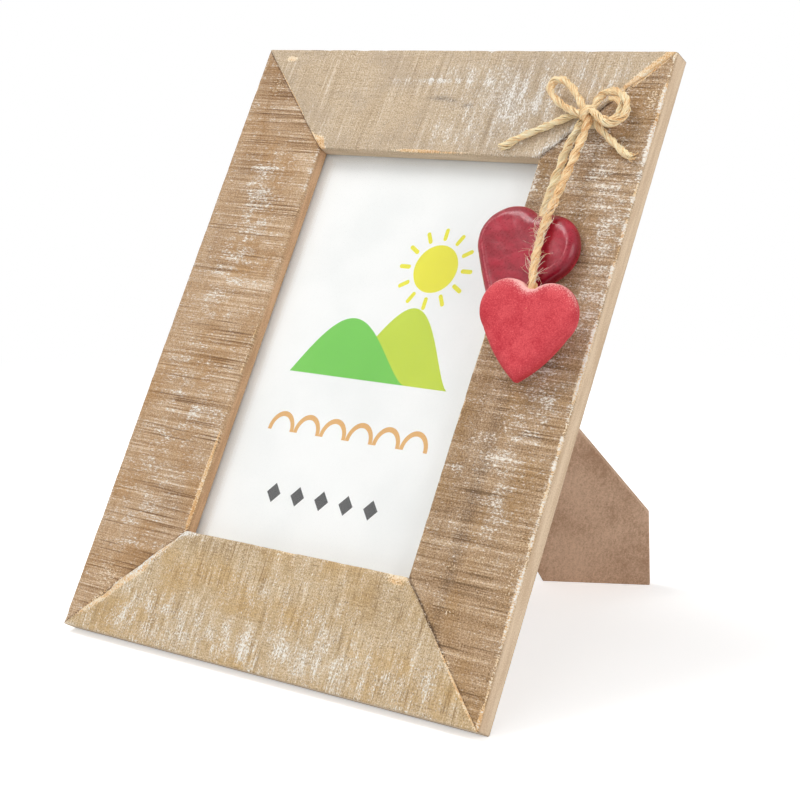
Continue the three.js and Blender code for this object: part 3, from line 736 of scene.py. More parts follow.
FIBRE_RADIUS = 0.11
FIBRE_STEPS = 7
FIBRE_SIDES = 3
FIBRE_TIP = 0.4
FIBRE_ROOT = 0.8
FIBRE_RISE = 0.6
FIBRE_OUT = (0.3, 1)
FIBRE_ALONG = (0.3, 1.2)
FIBRE_BEND = 0.35
FIBRE_FLAT = (1, 1, 0.4)
FIBRE_LENGTH = (0.4, 1)
FIBRE_PATTERN = 0.3
KNOT_CLEAR = 6.5


def fibre_strands(route, count, reach, seed, spread, clear):
    """Loose fibres that spring from a cord, clear of the knot, and curl away from it."""
    random = np.random.default_rng(seed)
    along, beside, over = carried_frames(route)
    sizes = FIBRE_RADIUS * np.linspace(1, FIBRE_TIP, FIBRE_STEPS)
    threads = Threads()
    for _ in range(count):
        share = random.random() if spread is None else np.clip(random.normal(*spread), 0, 1)
        i = int(share * (len(route) - 1))
        if math.dist(route[i], KNOT) < clear:
            continue
        angle = random.uniform(0, 2 * math.pi)
        out = math.cos(angle) * beside[i] + math.sin(angle) * over[i]
        out[2] = abs(out[2]) * FIBRE_RISE
        heading = out * random.uniform(*FIBRE_OUT)
        heading = heading + along[i] * random.choice((-1, 1)) * random.uniform(*FIBRE_ALONG)
        bend = random.normal(0, FIBRE_BEND, 3) * FIBRE_FLAT
        length = random.uniform(*FIBRE_LENGTH) * reach
        spine = [route[i] + out * TWINE_RADIUS * FIBRE_ROOT]
        for _ in range(FIBRE_STEPS - 1):
            heading = heading / np.linalg.norm(heading)
            spine.append(spine[-1] + heading * length / (FIBRE_STEPS - 1))
            heading = heading + bend
        across = np.tile(beside[i], (FIBRE_STEPS, 1))
        above = np.tile(over[i], (FIBRE_STEPS, 1))
        threads.add(np.array(spine), across, above, sizes, FIBRE_SIDES)
    return threads


def add_fibres(name, route, body, count, reach, seed, spread=None, clear=KNOT_CLEAR):
    """A cord's loose fibres as one piece."""
    fuzz = fibre_strands(route, count, reach, seed, spread, clear)
    material = bpy.data.materials["jute_fibres"]
    piece = new_piece(name, fuzz.points, fuzz.faces, body, material)
    store(piece, "cord_place", np.array(fuzz.points) * FIBRE_PATTERN)
    return piece


def add_twine(name, look, route, body, replaced, seed, fullness, frayed=False):
    """One stretch of twine as a piece."""
    wound, place = twine_strands(route, fullness, seed, frayed)
    material = bpy.data.materials[look]
    piece = new_piece(name, wound.points, wound.faces, body, material, replaced)
    store(piece, "cord_place", place)
    return piece


def add_cord(name, look, points, body, node, seed, far_end, fullness, fibres):
    """A cord: its wound strands and loose fibres."""
    route = smooth_route(points, TWINE_STEP)
    cord = add_twine(name, look, route, body, (node,), seed, fullness, far_end == "bare")
    fuzz = add_fibres(name + "_fibres", route, body, fibres[0], fibres[1], seed + 90, *fibres[2:])


def heart_axes(heart):
    """A heart's right, up and out directions on the face."""
    turn = math.radians(heart.turn)
    tilt = math.radians(heart.tilt)
    right = np.array([math.cos(turn), -math.sin(turn), 0])
    up = np.array([math.cos(tilt) * math.sin(turn), math.cos(tilt) * math.cos(turn), math.sin(tilt)])
    return right, up, np.cross(right, up)


def with_hole(points, heart):
    """A heart cord's route with its end in the hole at the notch."""
    up = heart_axes(heart)[1]
    notch = np.array(heart.notch)
    return [*points, tuple(notch + HOLE_MOUTH * up), tuple(notch + HOLE_BOTTOM * up)]


KNOT_LEAN = -14
KNOT_HALF = 1.2
KNOT_RISE = 1.9
KNOT_OUT = 1.7
KNOT_TURNS = (-0.5 * math.pi, 3.6 * math.pi)
KNOT_POINTS = 16
# Dark, middle and light of each jute finish; the one for the tails and the back heart's cord is painted
# lighter, standing in for light those low-lying cords lack
JUTE = {
    "jute_bow": ((226, 176, 120), (255, 230, 184), (255, 242, 208)),
    # Painted lighter, standing in for light on the cords that lie low by the wood
    "jute_lit_low": ((238, 190, 136), (255, 238, 194), (255, 246, 216)),
    "jute_front": ((208, 154, 100), (254, 218, 166), (255, 236, 198)),
    "jute_fibres": ((248, 214, 168), (255, 240, 210), (255, 250, 234)),
}


def add_knot():
    """Two tight turns of twine wound round the middle of the bow."""
    lean = math.radians(KNOT_LEAN)
    axis = np.array([math.cos(lean), math.sin(lean), 0])
    rise = np.array([-math.sin(lean), math.cos(lean), 0])
    turn = np.linspace(*KNOT_TURNS, KNOT_POINTS)[:, None]
    slide = np.linspace(-KNOT_HALF, KNOT_HALF, KNOT_POINTS)[:, None]
    wound = np.array(KNOT) + slide * axis + KNOT_RISE * np.sin(turn) * rise
    wound[:, 2:] += KNOT_OUT * np.cos(turn)
    route = smooth_route(wound, TWINE_STEP)
    add_twine("wound_bow_knot", "jute_bow", route, "frame", ("bow_knot",), 11, 0.85)
    add_fibres("wound_bow_knot_fibres", route, "frame", 40, 1.6, 111, clear=0)


def add_twines():
    """The bow, its tails and the two heart cords."""
    for name, colours in JUTE.items():
        jute(name, *colours)
    inner = smooth_route(RIGHT_LOOP_INNER_ROUTE, TWINE_STEP)
    inner_turn = add_twine("twine_right_loop_inner", "jute_bow", inner, "frame", (), 6, 0.75)
    add_cord(
        "twine_tails", "jute_lit_low", TAILS_ROUTE, "frame", "bow_tails", 1,
        "bare", 0.92, (170, 2.2),
    )
    add_cord(
        "twine_left_loop", "jute_bow", LEFT_LOOP_ROUTE, "frame", "bow_loop_left", 2,
        "object", 0.95, (150, 2.2),
    )
    add_cord(
        "twine_right_loop", "jute_bow", RIGHT_LOOP_ROUTE, "frame", "bow_loop_right", 3,
        "object", 0.95, (170, 2.4),
    )
    add_cord(
        "twine_back_heart", "jute_lit_low", with_hole(BACK_CORD_ROUTE, BACK_HEART),
        "hanging_heart_back", "heart_cord_back", 4,
        "object", 1.05, (110, 3.2),
    )
    add_cord(
        "twine_front_heart", "jute_front", with_hole(FRONT_CORD_ROUTE, FRONT_HEART),
        "hanging_heart_front", "heart_cord_front", 5,
        "object", 1.02, (190, 6.0, (0.66, 0.24)),
    )
    add_knot()


# Rails
RAILS = ("top_rail", "bottom_rail", "left_stile", "right_stile")
# Relief, pattern scales, strengths and colours of the wood, for each rail in that order
TIMBER = {
    "seed": (1, 2, 3, 4),
    "level": (0.22, 0.18, -0.12, -0.1),
    "relief": (0.3, 0.5, 1.0, 1.0),
    "slant": (0.05, 0.03, 0.02, -0.02),
    "chip": ((2.0, 0.9), (2.0, 1.2), (1.9, 0.6), (1.8, 0.8)),
    "run": (0.022, 0.045, 0.011, 0.016),
    "bare": (0.2, 0.4, 0.38, 0.38),
    "arris": ((0.35, 0.5), (0.5, 0.6), (0.55, 0.7), (1.7, 0.6)),
    "saw": (0.4, 0.6, 0.7, 0.95),
    "hair": (0.4, 0.6, 1.1, 0.75),
    "fine": (1.3, 1.4, 1.1, 1.35),
    "crack": (0.35, 0.5, 0.2, 0.3),
    "cut": (0.14, 0.3, 0.7, 0.4),
    "split": (0.35, 0.55, 0.1, 0.2),
    "pit": (0.65, 0.8, 0.7, 0.8),
    "wash": (0.35, 0.3, 0.35, 0.35),
    "dark": ((154, 130, 102), (152, 124, 88), (134, 101, 68), (120, 93, 64)),
    "middle": ((201, 178, 148), (200, 174, 137), (189, 156, 121), (177, 145, 111)),
    "light": ((234, 219, 196), (234, 216, 188), (230, 206, 178), (222, 196, 164)),
    "stain_dark": ((160, 138, 114), (160, 126, 80), (136, 98, 60), (120, 88, 54)),
    "stain": ((212, 192, 166), (220, 188, 138), (204, 164, 118), (194, 157, 112)),
    "gloom": ((118, 106, 96), (122, 98, 70), (112, 84, 62), (96, 74, 56)),
    "paint": ((250, 246, 240), (250, 246, 238), (248, 242, 232), (248, 241, 230)),
    # The bottom rail's and the right stile's side colours are painted lighter, standing in for light on
    # those faces
    "side": ((216, 196, 170), (226, 210, 190), (208, 170, 134), (231, 207, 178)),
    "side_dark": ((190, 168, 140), (200, 180, 156), (180, 142, 106), (211, 183, 152)),
}
COLUMNS = [SimpleNamespace(**dict(zip(TIMBER, column))) for column in zip(*TIMBER.values())]
LOOKS = dict(zip(RAILS, COLUMNS))

# Soft patches: along the rail, in from its outer edge, half length, half width, strength
PAINT_PATCHES = {
    "top_rail": [
        (0, 12.5, 18, 0.8, 2.2), (0, 11, 16, 5, 0.4), (20, 18, 14, 16, 0.85), (40, 22, 12, 16, 1.0),
        (10, 33, 16, 6, 0.55), (56, 12, 12, 9, 0.6), (71, 10, 9, 8, 0.45),
    ],
    "bottom_rail": [
        (-55, 10, 22, 9, 0.85), (-25, 8, 14, 7, 0.85), (5, 8, 24, 7, 1.1), (35, 10, 16, 8, 0.65),
        (60, 10, 12, 7, 0.6), (20, 19, 6, 6, 0.65), (-8, 26, 14, 6, 0.35), (-45, 40.6, 5, 1.2, 1.6),
    ],
    "left_stile": [
        (64, 18, 7, 6, 0.95), (55, 21, 5, 7, 1.05), (46, 23, 6, 6, 0.85), (30, 20, 12, 9, 0.6),
        (10, 18, 14, 8, 0.6), (-13.5, 21, 1.2, 14, 1.2), (-19, 18, 3, 8, 0.75), (-24, 16, 4, 7, 0.95),
        (-31, 24, 2.5, 16, 0.95), (-41, 14, 3, 8, 0.95), (-36, 30, 3, 10, 0.75), (-56, 17, 10, 9, 0.55),
        (-72, 18, 10, 10, 0.4), (66, 40.6, 8, 1.0, 1.6),
    ],
    "right_stile": [
        (76, 24, 10, 16, 0.65), (64, 14, 10, 12, 0.8), (50, 6, 8, 5, 0.95), (30, 5, 12, 4, 0.9),
        (12, 6, 10, 5, 0.8), (0, 14, 5, 8, 1.05), (-12, 12, 6, 9, 0.95), (-22, 16, 4, 8, 0.95),
        (-32, 18, 4, 7, 0.95), (-44, 18, 5, 5, 0.8), (-26, 34, 1.2, 8, 0.8), (-36, 34, 1.2, 8, 0.8),
        (-50, 14, 8, 7, 0.5), (-90, 22, 20, 24, -0.32), (92, 14, 8, 10, 0.45),
        (70, 0.4, 28, 1.2, 1.6), (-30, 0.4, 60, 1.0, 1.0), (66, 40.4, 9, 1.5, 1.4),
    ],
}
RAW_PATCHES = {
    "top_rail": [(-76, 4, 4, 1.6, 0.9), (-49, 38, 2.5, 2.5, 1.0), (-2, 40.4, 14, 0.8, 0.7)],
    "bottom_rail": [
        (-62, 24, 6, 5, 0.4), (-22, 25, 7, 3, 0.4), (12, 27, 6, 3, 0.4), (44, 39, 5, 2, 0.8),
    ],
    "left_stile": [(-96, 12, 12, 10, 0.48), (100, 10, 9, 8, 0.4), (-58, 40.6, 18, 1.0, 0.8)],
    "right_stile": [
        (-60, 4, 40, 3, 0.4), (98, 4, 8, 3, 0.5), (-64, 16, 2, 8, 0.5), (-68, 26, 2, 7, 0.45),
        (-74, 14, 2.5, 6, 0.5), (-82, 24, 2.5, 6, 0.4), (-96, 16, 3, 5, 0.4),
    ],
}
DIRT_PATCHES = {
    "top_rail": [
        (0, 19.6, 4, 0.9, 0.9), (5, 20.4, 2, 0.6, 0.8), (12, 22, 2.2, 0.7, 0.9), (30, 20, 24, 20, 0.25),
    ],
    "bottom_rail": [(40, 30, 20, 8, 0.2), (-30, 38, 20, 4, 0.25)],
    "left_stile": [
        (102, 16, 14, 18, 0.5), (66, 10, 8, 6, 0.4), (-70, 30, 30, 8, 0.2), (34, 8, 12, 5, 0.3),
    ],
    "right_stile": [
        (-45, 26, 60, 2.6, 0.6), (-30, 34, 50, 6, 0.3), (40, 38, 30, 5, 0.4), (78, 24, 14, 16, 0.4),
    ],
}

# Stretches along the mitres, of wear and of painted shadow: end, in from the outer edge, half width, reach,
# strength
MITRE_PAINT = {
    "top_rail": [(1, 32, 10, 4.0, 1.0)],
    "bottom_rail": [(0, 40, 3, 2.2, 1.6), (0, 26, 9, 3.0, 0.9)],
}
MITRE_RAW = {
    "top_rail": [(1, 7, 11, 3.6, 1.5), (0, 39, 4, 2.6, 1.5), (0, 18, 16, 0.8, 1.0)],
    "bottom_rail": [(0, 17, 12, 3.6, 1.7), (0, 34, 6, 1.6, 1.3), (1, 12, 16, 1.2, 1.1)],
    "left_stile": [(0, 8, 6, 1.2, 0.5)],
    "right_stile": [(0, 22, 18, 0.7, 0.4), (1, 8, 9, 1.2, 0.9)],
}
# Painted shadow on the stiles where the raised rails stand over them
MITRE_SHADOW = {
    "left_stile": [(1, 20, 20, 0.5, 0.6), (0, 16, 16, 0.5, 0.7)],
    "right_stile": [(0, 31, 12, 0.8, 1.4), (1, 30, 10, 1.2, 1.2)],
}
# Chipped stretches of the raised rails' ends: end, in from the outer edge, half width, depth
CHIPS = {
    "top_rail": [(1, 30, 11, 2.4), (1, 8, 9, 1.1), (0, 39, 2, 0.8)],
    "bottom_rail": [(0, 18, 13, 1.5), (0, 36, 4, 0.8), (1, 30, 12, 1.1)],
}
CHIP_SEED = 43
CHIP_RUN = 2
CHIP_LEAST = 0.1
CHIP_DEPTH = 1.5
STILE_TONGUE = 2.6
TONGUE_OUTER = (4, 9)
TONGUE_INNER = (RAIL_WIDTH - 1.5, RAIL_WIDTH - 0.4)
TONGUE_DEPTH = (2, 4)
# Mesh steps along the rail and round its section
RAIL_STEP = 0.45
FACE_STEP = 0.5
LEDGE_STEP = 1.2
REBATE_STEP = 1.1
BACK_STEP = 1.5
SIDE_STEP = 0.6
ARRIS_POINTS = 6
FACE_BLEND = 0.1
PAINT_FULL = 1.25
ARRIS_REACH = 0.9
ARRIS_LOSS = 0.05
ARRIS_WEAR = 0.16
ARRIS_PAINT = 0.5
WORN_RUN = (7, 30)
WORN_LEAST = 0.25
WORN_MOST = 1.2
CLUSTER_RUN = (2.4, 4.4)
LIP_RUN = (8, 30)
LIP_WAVE = 0.8
LIP_STAIN = (0.4, 2.2)
# Pitch and run of the fine and the coarse saw marks
FINE_SAW = (0.95, 15)
COARSE_SAW = (2.3, 26)
COARSE_SHARE = 0.7
BACK_SHARE = 0.5
SIDE_SHARE = 0.2
SAW_HEIGHT = 0.06
LUMP_HEIGHT = 0.04
LUMP_SIZE = 5
MITRE_DIP = 0.18
MITRE_DIP_REACH = 0.5
MITRE_GRIME = 0.7
MITRE_GRIME_REACH = 0.4
MASK_LIMIT = 1.3


def patch_strength(grid, patches):
    """The sum of soft round patches."""
    total = np.zeros_like(grid.along)
    for middle, inset, half_length, half_width, strength in patches:
        spread = ((grid.along - middle) / half_length) ** 2 + ((grid.inset - inset) / half_width) ** 2
        total += strength * np.exp(-spread)
    return total


def mitre_strength(grid, stretches):
    """The sum of soft stretches along a rail's mitres."""
    total = np.zeros_like(grid.along)
    for end, inset, half_width, reach, strength in stretches:
        here = (grid.along > 0) == (end == 1)
        spread = ((grid.inset - inset) / half_width) ** 2 + (grid.mitre / reach) ** 2
        total += strength * here * np.exp(-spread)
    return total


def line(start, end, step):
    """Even points from start towards end, without the end."""
    count = max(1, round(math.dist(start, end) / step))
    share = np.arange(count)[:, None] / count
    return np.array(start) * (1 - share) + np.array(end) * share


def rail_section():
    """The rail's outline (across, depth), from the front face by the lip round the back."""
    inner = RAIL_WIDTH - REBATE
    return np.vstack([
        line((ARRIS, 0), (RAIL_WIDTH - ARRIS, 0), FACE_STEP),
        arc(RAIL_WIDTH - ARRIS, ARRIS, ARRIS, ARRIS, -math.pi / 2, 0, ARRIS_POINTS)[:-1],
        line((RAIL_WIDTH, ARRIS), (RAIL_WIDTH, LIP_DEPTH), FACE_STEP),
        line((RAIL_WIDTH, LIP_DEPTH), (inner, LIP_DEPTH), LEDGE_STEP),
        line((inner, LIP_DEPTH), (inner, RAIL_DEPTH), REBATE_STEP),
        line((inner, RAIL_DEPTH), (0, RAIL_DEPTH), BACK_STEP),
        line((0, RAIL_DEPTH), (0, ARRIS), SIDE_STEP),
        arc(ARRIS, ARRIS, ARRIS, ARRIS, math.pi, 1.5 * math.pi, ARRIS_POINTS)[:-1],
    ])


def rail_on_face(name, along, across, depth):
    """A rail's own places as places on the face."""
    if name in CHIPS:
        up = across - OUTER_HEIGHT / 2
        return np.stack([along, -up if name == "top_rail" else up, -depth], -1)
    right = across - OUTER_WIDTH / 2
    return np.stack([-right if name == "right_stile" else right, along, -depth], -1)


def end_reach(name, end, across, depth, seed):
    """How far a rail's end stands past its mitre: chips on raised rails, tongues under them."""
    if name not in CHIPS:
        wide = ease(across, *TONGUE_OUTER) * (1 - ease(across, *TONGUE_INNER))
        return STILE_TONGUE * wide * (1 - ease(depth, *TONGUE_DEPTH))
    ragged = fractal(across / CHIP_RUN, 0 * across, seed + end + CHIP_SEED, 4)
    ragged = np.clip(0.4 + 0.7 * ragged, -0.3, 1.3)
    deep = sum(d * np.exp(-(((across - a) / w) ** 2)) for e, a, w, d in CHIPS[name] if e == end)
    return -(CHIP_LEAST + deep) * ragged * np.exp(-depth / CHIP_DEPTH)


def rail_grid(name, look, section):
    """Every point of a rail's skin: its places on the rail, and how near the worn edges it is."""
    across, depth = section.T
    steps = np.linalg.norm(np.roll(section, -1, axis=0) - section, axis=1)
    unrolled = ARRIS + np.concatenate([[0], np.cumsum(steps[:-1])])
    past_back = (np.arange(len(section)) > len(section) / 2) & (across < ARRIS)
    unrolled = np.where(past_back, unrolled - steps.sum(), unrolled)
    length = OUTER_WIDTH if name in CHIPS else OUTER_HEIGHT
    rows = round(length / RAIL_STEP)
    share = np.linspace(-1, 1, rows + 1)[:, None]
    half = length / 2 - across - MITRE_GAP
    seed = look.seed * 100
    ends = [half + end_reach(name, end, across, depth, seed) for end in (0, 1)]
    along = np.where(share < 0, share * ends[0], share * ends[1])
    wide = along * 0 + unrolled
    return SimpleNamespace(
        seed=seed, along=along, wide=wide, inset=along * 0 + across, depth=along * 0 + depth,
        slanted=along + look.slant * wide, mitre=np.maximum(half - np.abs(along), 0),
        front=along * 0 + 1 - ease(depth, FACE_BLEND, ARRIS),
        back=along * 0 + ease(depth, RAIL_DEPTH - FACE_BLEND, RAIL_DEPTH),
        outer_arris=np.exp(-(((wide - ARRIS / 2) / ARRIS_REACH) ** 2)),
        inner_arris=np.exp(-(((wide - RAIL_WIDTH + ARRIS / 2) / ARRIS_REACH) ** 2)),
        worn=np.clip(fractal(along / WORN_RUN[0], wide / WORN_RUN[1], seed + 6) + WORN_LEAST, 0, WORN_MOST),
    )


def rail_relief(grid, look):
    """How far each point stands out: saw marks, lumps, worn arrises and the rail's own level."""
    fine = noise(grid.slanted / FINE_SAW[0], grid.wide / FINE_SAW[1], grid.seed + 3)
    coarse = noise(grid.slanted / COARSE_SAW[0], grid.wide / COARSE_SAW[1], grid.seed + 4)
    lumps = fractal(grid.along / LUMP_SIZE, grid.wide / LUMP_SIZE, grid.seed + 5)
    sawn = grid.front + BACK_SHARE * grid.back + SIDE_SHARE * (1 - grid.front - grid.back)
    marks = SAW_HEIGHT * look.relief * (fine + COARSE_SHARE * coarse)
    relief = sawn * (marks + LUMP_HEIGHT * lumps)
    relief = relief - (grid.outer_arris + grid.inner_arris) * (ARRIS_LOSS + ARRIS_WEAR * grid.worn**2)
    dip = MITRE_DIP * np.exp(-grid.mitre / MITRE_DIP_REACH)
    return relief - grid.front * dip + grid.front * look.level


def rail_wear(name, look, grid):
    """Masks for the finish: caught paint, raw wood, planed sides, and grime with painted shadow by the
    mitres.
    """
    face = np.maximum(grid.front, np.maximum(grid.outer_arris, grid.inner_arris))
    clusters = fractal(grid.along / CLUSTER_RUN[0], grid.wide / CLUSTER_RUN[1], grid.seed + 7, 4)
    clusters = np.clip(0.75 + 0.7 * clusters, 0, 1.5)
    paint = (look.bare + patch_strength(grid, PAINT_PATCHES[name])) * clusters
    paint = PAINT_FULL * (1 - np.exp(-paint / PAINT_FULL))
    outer, inner = look.arris
    arris_paint = outer * grid.outer_arris * grid.worn
    paint = face * (paint + ARRIS_PAINT * arris_paint + mitre_strength(grid, MITRE_PAINT.get(name, ())))
    raw = patch_strength(grid, RAW_PATCHES[name])
    raw = face * (raw + mitre_strength(grid, MITRE_RAW[name]))
    raw = raw + (outer * grid.outer_arris + inner * grid.inner_arris) * (0.35 + 0.65 * grid.worn)
    dirt_and_shadow = patch_strength(grid, DIRT_PATCHES[name])
    dirt_and_shadow = dirt_and_shadow + MITRE_GRIME * np.exp(-grid.mitre / MITRE_GRIME_REACH)
    # Painted shadow of the raised rails on the stiles, by the mitres
    dirt_and_shadow = grid.front * (dirt_and_shadow + mitre_strength(grid, MITRE_SHADOW.get(name, ())))
    over_lip = grid.wide - RAIL_WIDTH
    wave = fractal(grid.along / LIP_RUN[0], grid.wide / LIP_RUN[1], grid.seed + 8)
    stained = ease(over_lip + LIP_WAVE * wave, *LIP_STAIN)
    planed = (1 - face) * np.where(over_lip > 0, 0.25 + 0.75 * stained, 1)
    return np.clip(np.stack([paint, raw, planed, dirt_and_shadow], -1), 0, MASK_LIMIT)


def add_rail(name):
    """One mitred rail with saw marks, worn arrises, chipped mitres and masks for its finish."""
    look = LOOKS[name]
    section = rail_section()
    grid = rail_grid(name, look, section)
    ahead = np.roll(section, -1, axis=0) - np.roll(section, 1, axis=0)
    ahead /= np.linalg.norm(ahead, axis=1)[:, None]
    relief = rail_relief(grid, look)
    inset = grid.inset + ahead[:, 1] * relief
    points = rail_on_face(name, grid.along, inset, grid.depth - ahead[:, 0] * relief).reshape(-1, 3)
    material = weathered_timber(name + "_timber", look)
    faces = tube_faces(*grid.along.shape)
    piece = new_piece(name + "_sawn", points, faces, "frame", material, (name,))
    store(piece, "rail_place", np.stack([grid.slanted, grid.wide, 0 * grid.wide], -1))
    store(piece, "rail_wear", rail_wear(name, look, grid))


# Hearts
HEART_POINTS = 120
NOTCH_REACH = 3.5
NOTCH_CURVE = 0.08
RIDGE_REACH = 0.5
RIM_REACH = 1.6
DENT_HEIGHT = 0.1
DENT_SIZE = 6
# Where the edge's top, the painted highlight on the rim's top and the painted shade at the bottom right
# begin and are full, from the notch
EDGE_TOP = (-8, 6)
RIM_TOP = (-8, 3)
LOWER_RIGHT = (-8, 4)
NOTCH_RIM = 7
# How the edges roll over: radius, more at the top, power, and the ridge's height
FLAT_EDGE = SimpleNamespace(radius=2.8, top=3.4, power=2.0, ridge=0.12)
SOFT_EDGE = SimpleNamespace(radius=5.0, top=1.5, power=2.6, ridge=0.0)
HEART_RINGS = (1, 0.995, 0.985, 0.97, 0.95, 0.925, 0.895, 0.86, 0.82, 0.77, 0.7, 0.6, 0.48, 0.34, 0.18)


def heart_outline(heart):
    """Half arcs, drawn-out flanks and a tip, with the notch at the origin."""
    lobe = heart.lobe
    offset = heart.width / 2 - lobe
    tip = np.array([0, lobe - heart.height])
    start = math.pi - math.acos(offset / lobe)
    touch = math.atan2(tip[1], -offset) + math.acos(lobe / math.hypot(offset, tip[1]))
    outward = np.array([math.cos(touch), math.sin(touch)])
    shoulder = np.array([offset, 0]) + lobe * outward
    bulge = (shoulder + tip) / 2 + 2 * heart.swell * outward
    top = np.array(arc(offset, 0, lobe, lobe, start, touch, HEART_POINTS * 3 // 5))
    t = np.linspace(0, 1, HEART_POINTS * 2 // 5 + 1)[1:, None]
    flank = (1 - t) ** 2 * shoulder + 2 * t * (1 - t) * bulge + t**2 * tip
    right = np.vstack([top, flank]) - (0, top[0][1])
    filled = heart.fill + NOTCH_CURVE * right[:, 0] ** 2
    in_notch = (right[:, 0] < NOTCH_REACH) & (right[:, 1] > tip[1] / 3)
    right[:, 1] = np.where(in_notch, np.maximum(right[:, 1], filled), right[:, 1])
    left = right[1:-1][::-1] * (-1, 1)
    return np.vstack([right, left])


def heart_faces(count, rings):
    """Faces of a front and a back shell of rings that share the outermost ring."""
    faces = []
    for side in (0, 1):
        skipped = side * ((rings - 1) * count + 1)
        starts = [0] + [ring * count + skipped for ring in range(1, rings)]
        for low, high in zip(starts, starts[1:]):
            faces += ring_faces(low, high, count)
        centre = rings * count + skipped
        faces += [(near, after, centre) for near, after, _, _ in ring_faces(starts[-1], centre, count)]
    return faces


def add_heart(name, heart, body, material, node, edge):
    """A rounded heart: flat faces that roll over at the rim."""
    outline = heart_outline(heart)
    count = len(outline)
    core = np.array([0, -heart.height / 3])
    flat = np.vstack([core + scale * (outline - core) for scale in HEART_RINGS] + [core[None, :]])
    inside = np.min(np.linalg.norm(flat[:, None, :] - outline[None, :, :], axis=2), axis=1)
    inside[:count] = 0
    radius = edge.radius + edge.top * ease(flat[:, 1], *EDGE_TOP)
    roll = 1 - np.clip(inside / radius, 0, 1)
    height = HEART_THICKNESS / 2 * (1 - roll ** edge.power) ** (1 / edge.power)
    ridge = np.exp(-(((inside - radius) / RIDGE_REACH) ** 2))
    dents = DENT_HEIGHT * fractal(*(flat / DENT_SIZE).T, len(name)) * np.clip(inside, 0, 1)
    places = np.vstack([flat, flat[count:]])
    depth = np.concatenate([height + edge.ridge * ridge + dents, -height[count:]])
    right, up, out = heart_axes(heart)
    points = np.array(heart.notch) + places[:, :1] * right + places[:, 1:] * up + depth[:, None] * out
    faces = heart_faces(count, len(HEART_RINGS))
    piece = new_piece(name, points, faces, body, material, (node,))
    store(piece, "heart_place", np.column_stack([places, depth]))
    # Masks for the painted highlight and painted shade round the rim, with the ridge
    masks = heart_masks(flat, inside, ridge)
    store(piece, "heart_rim", np.vstack([masks, 0 * masks[count:]]))


def heart_masks(flat, inside, ridge):
    """Masks for the finish: painted highlight on the top rim, most by the notch, then the ridge, then
    painted shade on the bottom edge on the right.
    """
    rim = np.exp(-inside / RIM_REACH)
    top = ease(flat[:, 1], *RIM_TOP)
    shade_mask = rim * (1 - top) * ease(flat[:, 0], *LOWER_RIGHT)
    highlight_mask = rim * top * (0.4 + 0.6 * np.exp(-((flat[:, 0] / NOTCH_RIM) ** 2)))
    return np.column_stack([highlight_mask, ridge, shade_mask])


def add_hearts():
    """The dark glossy heart behind and the matt one in front."""
    add_heart(
        "lacquered_heart", BACK_HEART, "hanging_heart_back",
        crimson_lacquer("dark_lacquer"), "heart_back", FLAT_EDGE,
    )
    add_heart(
        "painted_heart", FRONT_HEART, "hanging_heart_front",
        coral_paint("matt_paint"), "heart_front", SOFT_EDGE,
    )


# Print behind the glass
INK_BACK = 0.06
INK_FRONT = 0.02
DISC_POINTS = 48
SUN = (16, 33)
SUN_RADIUS = 9
RAYS = 12
RAY_RING = 13
RAY_HALF = (1.6, 0.8)
BAR_POINTS = 9
HILL_POINTS = 40
HILL_POWER = 1.3
# Each hill's left, right, foot, peak and lean
FAR_HILL = (-10, 36, -10, 18, 1.0)
NEAR_HILL = (-32, 18, -10, 12, 0.8)
# The arches' left end, foot, width and count, and their half widths and heights in widths
ARCHES = (-33, -32, 11.5, 6)
ARCH_OUTER = (0.5, 0.62)
ARCH_INNER = (0.36, 0.46)
ARCH_POINTS = 21
LOZENGE_HALF = (3, 3.5)
LOZENGE_ROW = -54
LOZENGES = (-21, -10.5, 0, 10.5, 21)


def add_ink(name, outlines, dark, light, layer=0):
    """Flat printed shapes of one colour, a hair thick, on the card or on an earlier layer."""
    points, faces = [], []
    for outline in outlines:
        faces += tube_faces(2, len(outline), len(points))
        for lift in (-INK_BACK, INK_FRONT * (1 + layer)):
            points += [(u, v, lift - PRINT_FRONT) for u, v in outline]
    piece = new_piece(name, points, faces, "frame", card(name + "_ink", dark, light))
    piece.data.shade_flat()


def disc(u, v, radius, points):
    """Points round a circle."""
    return arc(u, v, radius, radius, 0, 2 * math.pi, points + 1)[:-1]


def hill(left, right, foot, peak, lean):
    """A smooth hill from a flat foot."""
    share = np.linspace(0, 1, HILL_POINTS)
    height = np.sin(math.pi * share**lean) ** HILL_POWER
    crest = [(left + s * (right - left), foot + (peak - foot) * h) for s, h in zip(share, height)]
    return crest[::-1]


def bar(u, v, half_length, half_width, angle):
    """A short rounded bar turned by an angle."""
    right = arc(half_length, 0, half_width, half_width, -math.pi / 2, math.pi / 2, BAR_POINTS)
    outline = right + [(-x, -y) for x, y in right]
    cosine, sine = math.cos(angle), math.sin(angle)
    return [(u + x * cosine - y * sine, v + x * sine + y * cosine) for x, y in outline]


def scallops(left, v, width, count):
    """A row of arches drawn as thin crescents."""
    rows = []
    for i in range(count):
        middle = left + width * (i + 0.5)
        outer = arc(middle, v, *(width * part for part in ARCH_OUTER), 0, math.pi, ARCH_POINTS)
        inner = arc(middle, v, *(width * part for part in ARCH_INNER), math.pi, 0, ARCH_POINTS)
        rows.append(outer + inner)
    return rows


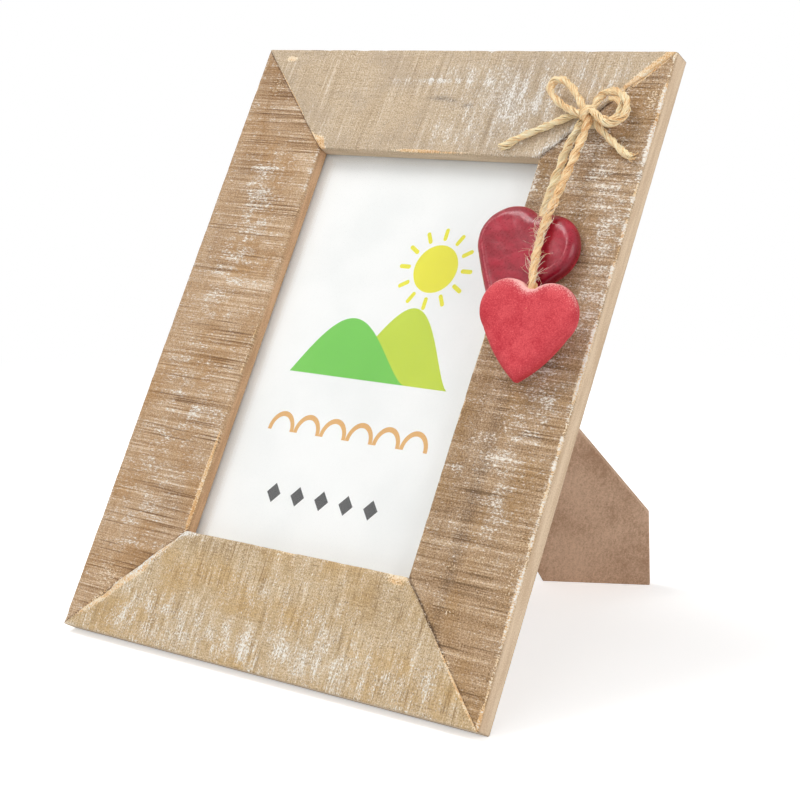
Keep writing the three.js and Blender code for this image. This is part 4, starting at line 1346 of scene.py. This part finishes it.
def add_print():
    """A plain made-up landscape in the insert's colours: sun, two hills, arches and lozenges."""
    finish_node("photo_insert", card("white_card", (243, 244, 243), (251, 251, 250)))
    ring = enumerate(disc(*SUN, RAY_RING, RAYS))
    rays = [bar(*place, *RAY_HALF, 2 * math.pi * i / RAYS) for i, place in ring]
    add_ink("print_sun", [disc(*SUN, SUN_RADIUS, DISC_POINTS)] + rays, (232, 226, 20), (240, 234, 40))
    add_ink("print_far_hill", [hill(*FAR_HILL)], (190, 212, 34), (200, 220, 44))
    add_ink("print_near_hill", [hill(*NEAR_HILL)], (104, 196, 62), (114, 204, 70), 1)
    add_ink("print_arches", scallops(*ARCHES), (222, 168, 98), (228, 176, 106))
    wide, high = LOZENGE_HALF
    corners = ((wide, 0), (0, high), (-wide, 0), (0, -high))
    lozenges = [[(u + x, LOZENGE_ROW + y) for x, y in corners] for u in LOZENGES]
    add_ink("print_lozenges", lozenges, (66, 66, 66), (76, 76, 76))


# Solids that keep their shape
WELD_REACH = 0.00001
BOARD_EDGE = 0.2
STRUT_EDGE = 0.3
METAL_EDGE = 0.12
METAL = ("v_nail", "turn_button", "hinge_", "board_rivet", "strut_rivet")


def finish_node(name, material, edge=0.0):
    """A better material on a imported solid, with its sharp edges eased."""
    node = frame["nodes"][name]
    for slot in node.material_slots:
        slot.material = material
    if edge:
        weld = node.modifiers.new("weld", "WELD")
        weld.merge_threshold = WELD_REACH
        bevel = node.modifiers.new("eased_edges", "BEVEL")
        bevel.width = edge * MM
        bevel.segments = 2
        bevel.limit_method = "ANGLE"


def finish_solids():
    """Glass, boards, metal and glue."""
    finish_node("glass_pane", clear_glass("float_glass"))
    finish_node("back_board", fibreboard("hardboard", (126, 92, 64), (160, 122, 90)), BOARD_EDGE)
    # The strut's colours are painted lighter than its own, standing in for light lost in the frame's shadow
    finish_node("strut", fibreboard("strut_fibreboard_lightened", (186, 149, 121), (232, 198, 170)), STRUT_EDGE)
    finish_node("bow_glue_pad", melted_glue("hot_glue"))
    metal = zinc("zinc_plate")
    for name in frame["nodes"]:
        if name.startswith(METAL):
            finish_node(name, metal, METAL_EDGE)


set_stage()
add_twines()
for rail in RAILS:
    add_rail(rail)
add_hearts()
add_print()
finish_solids()
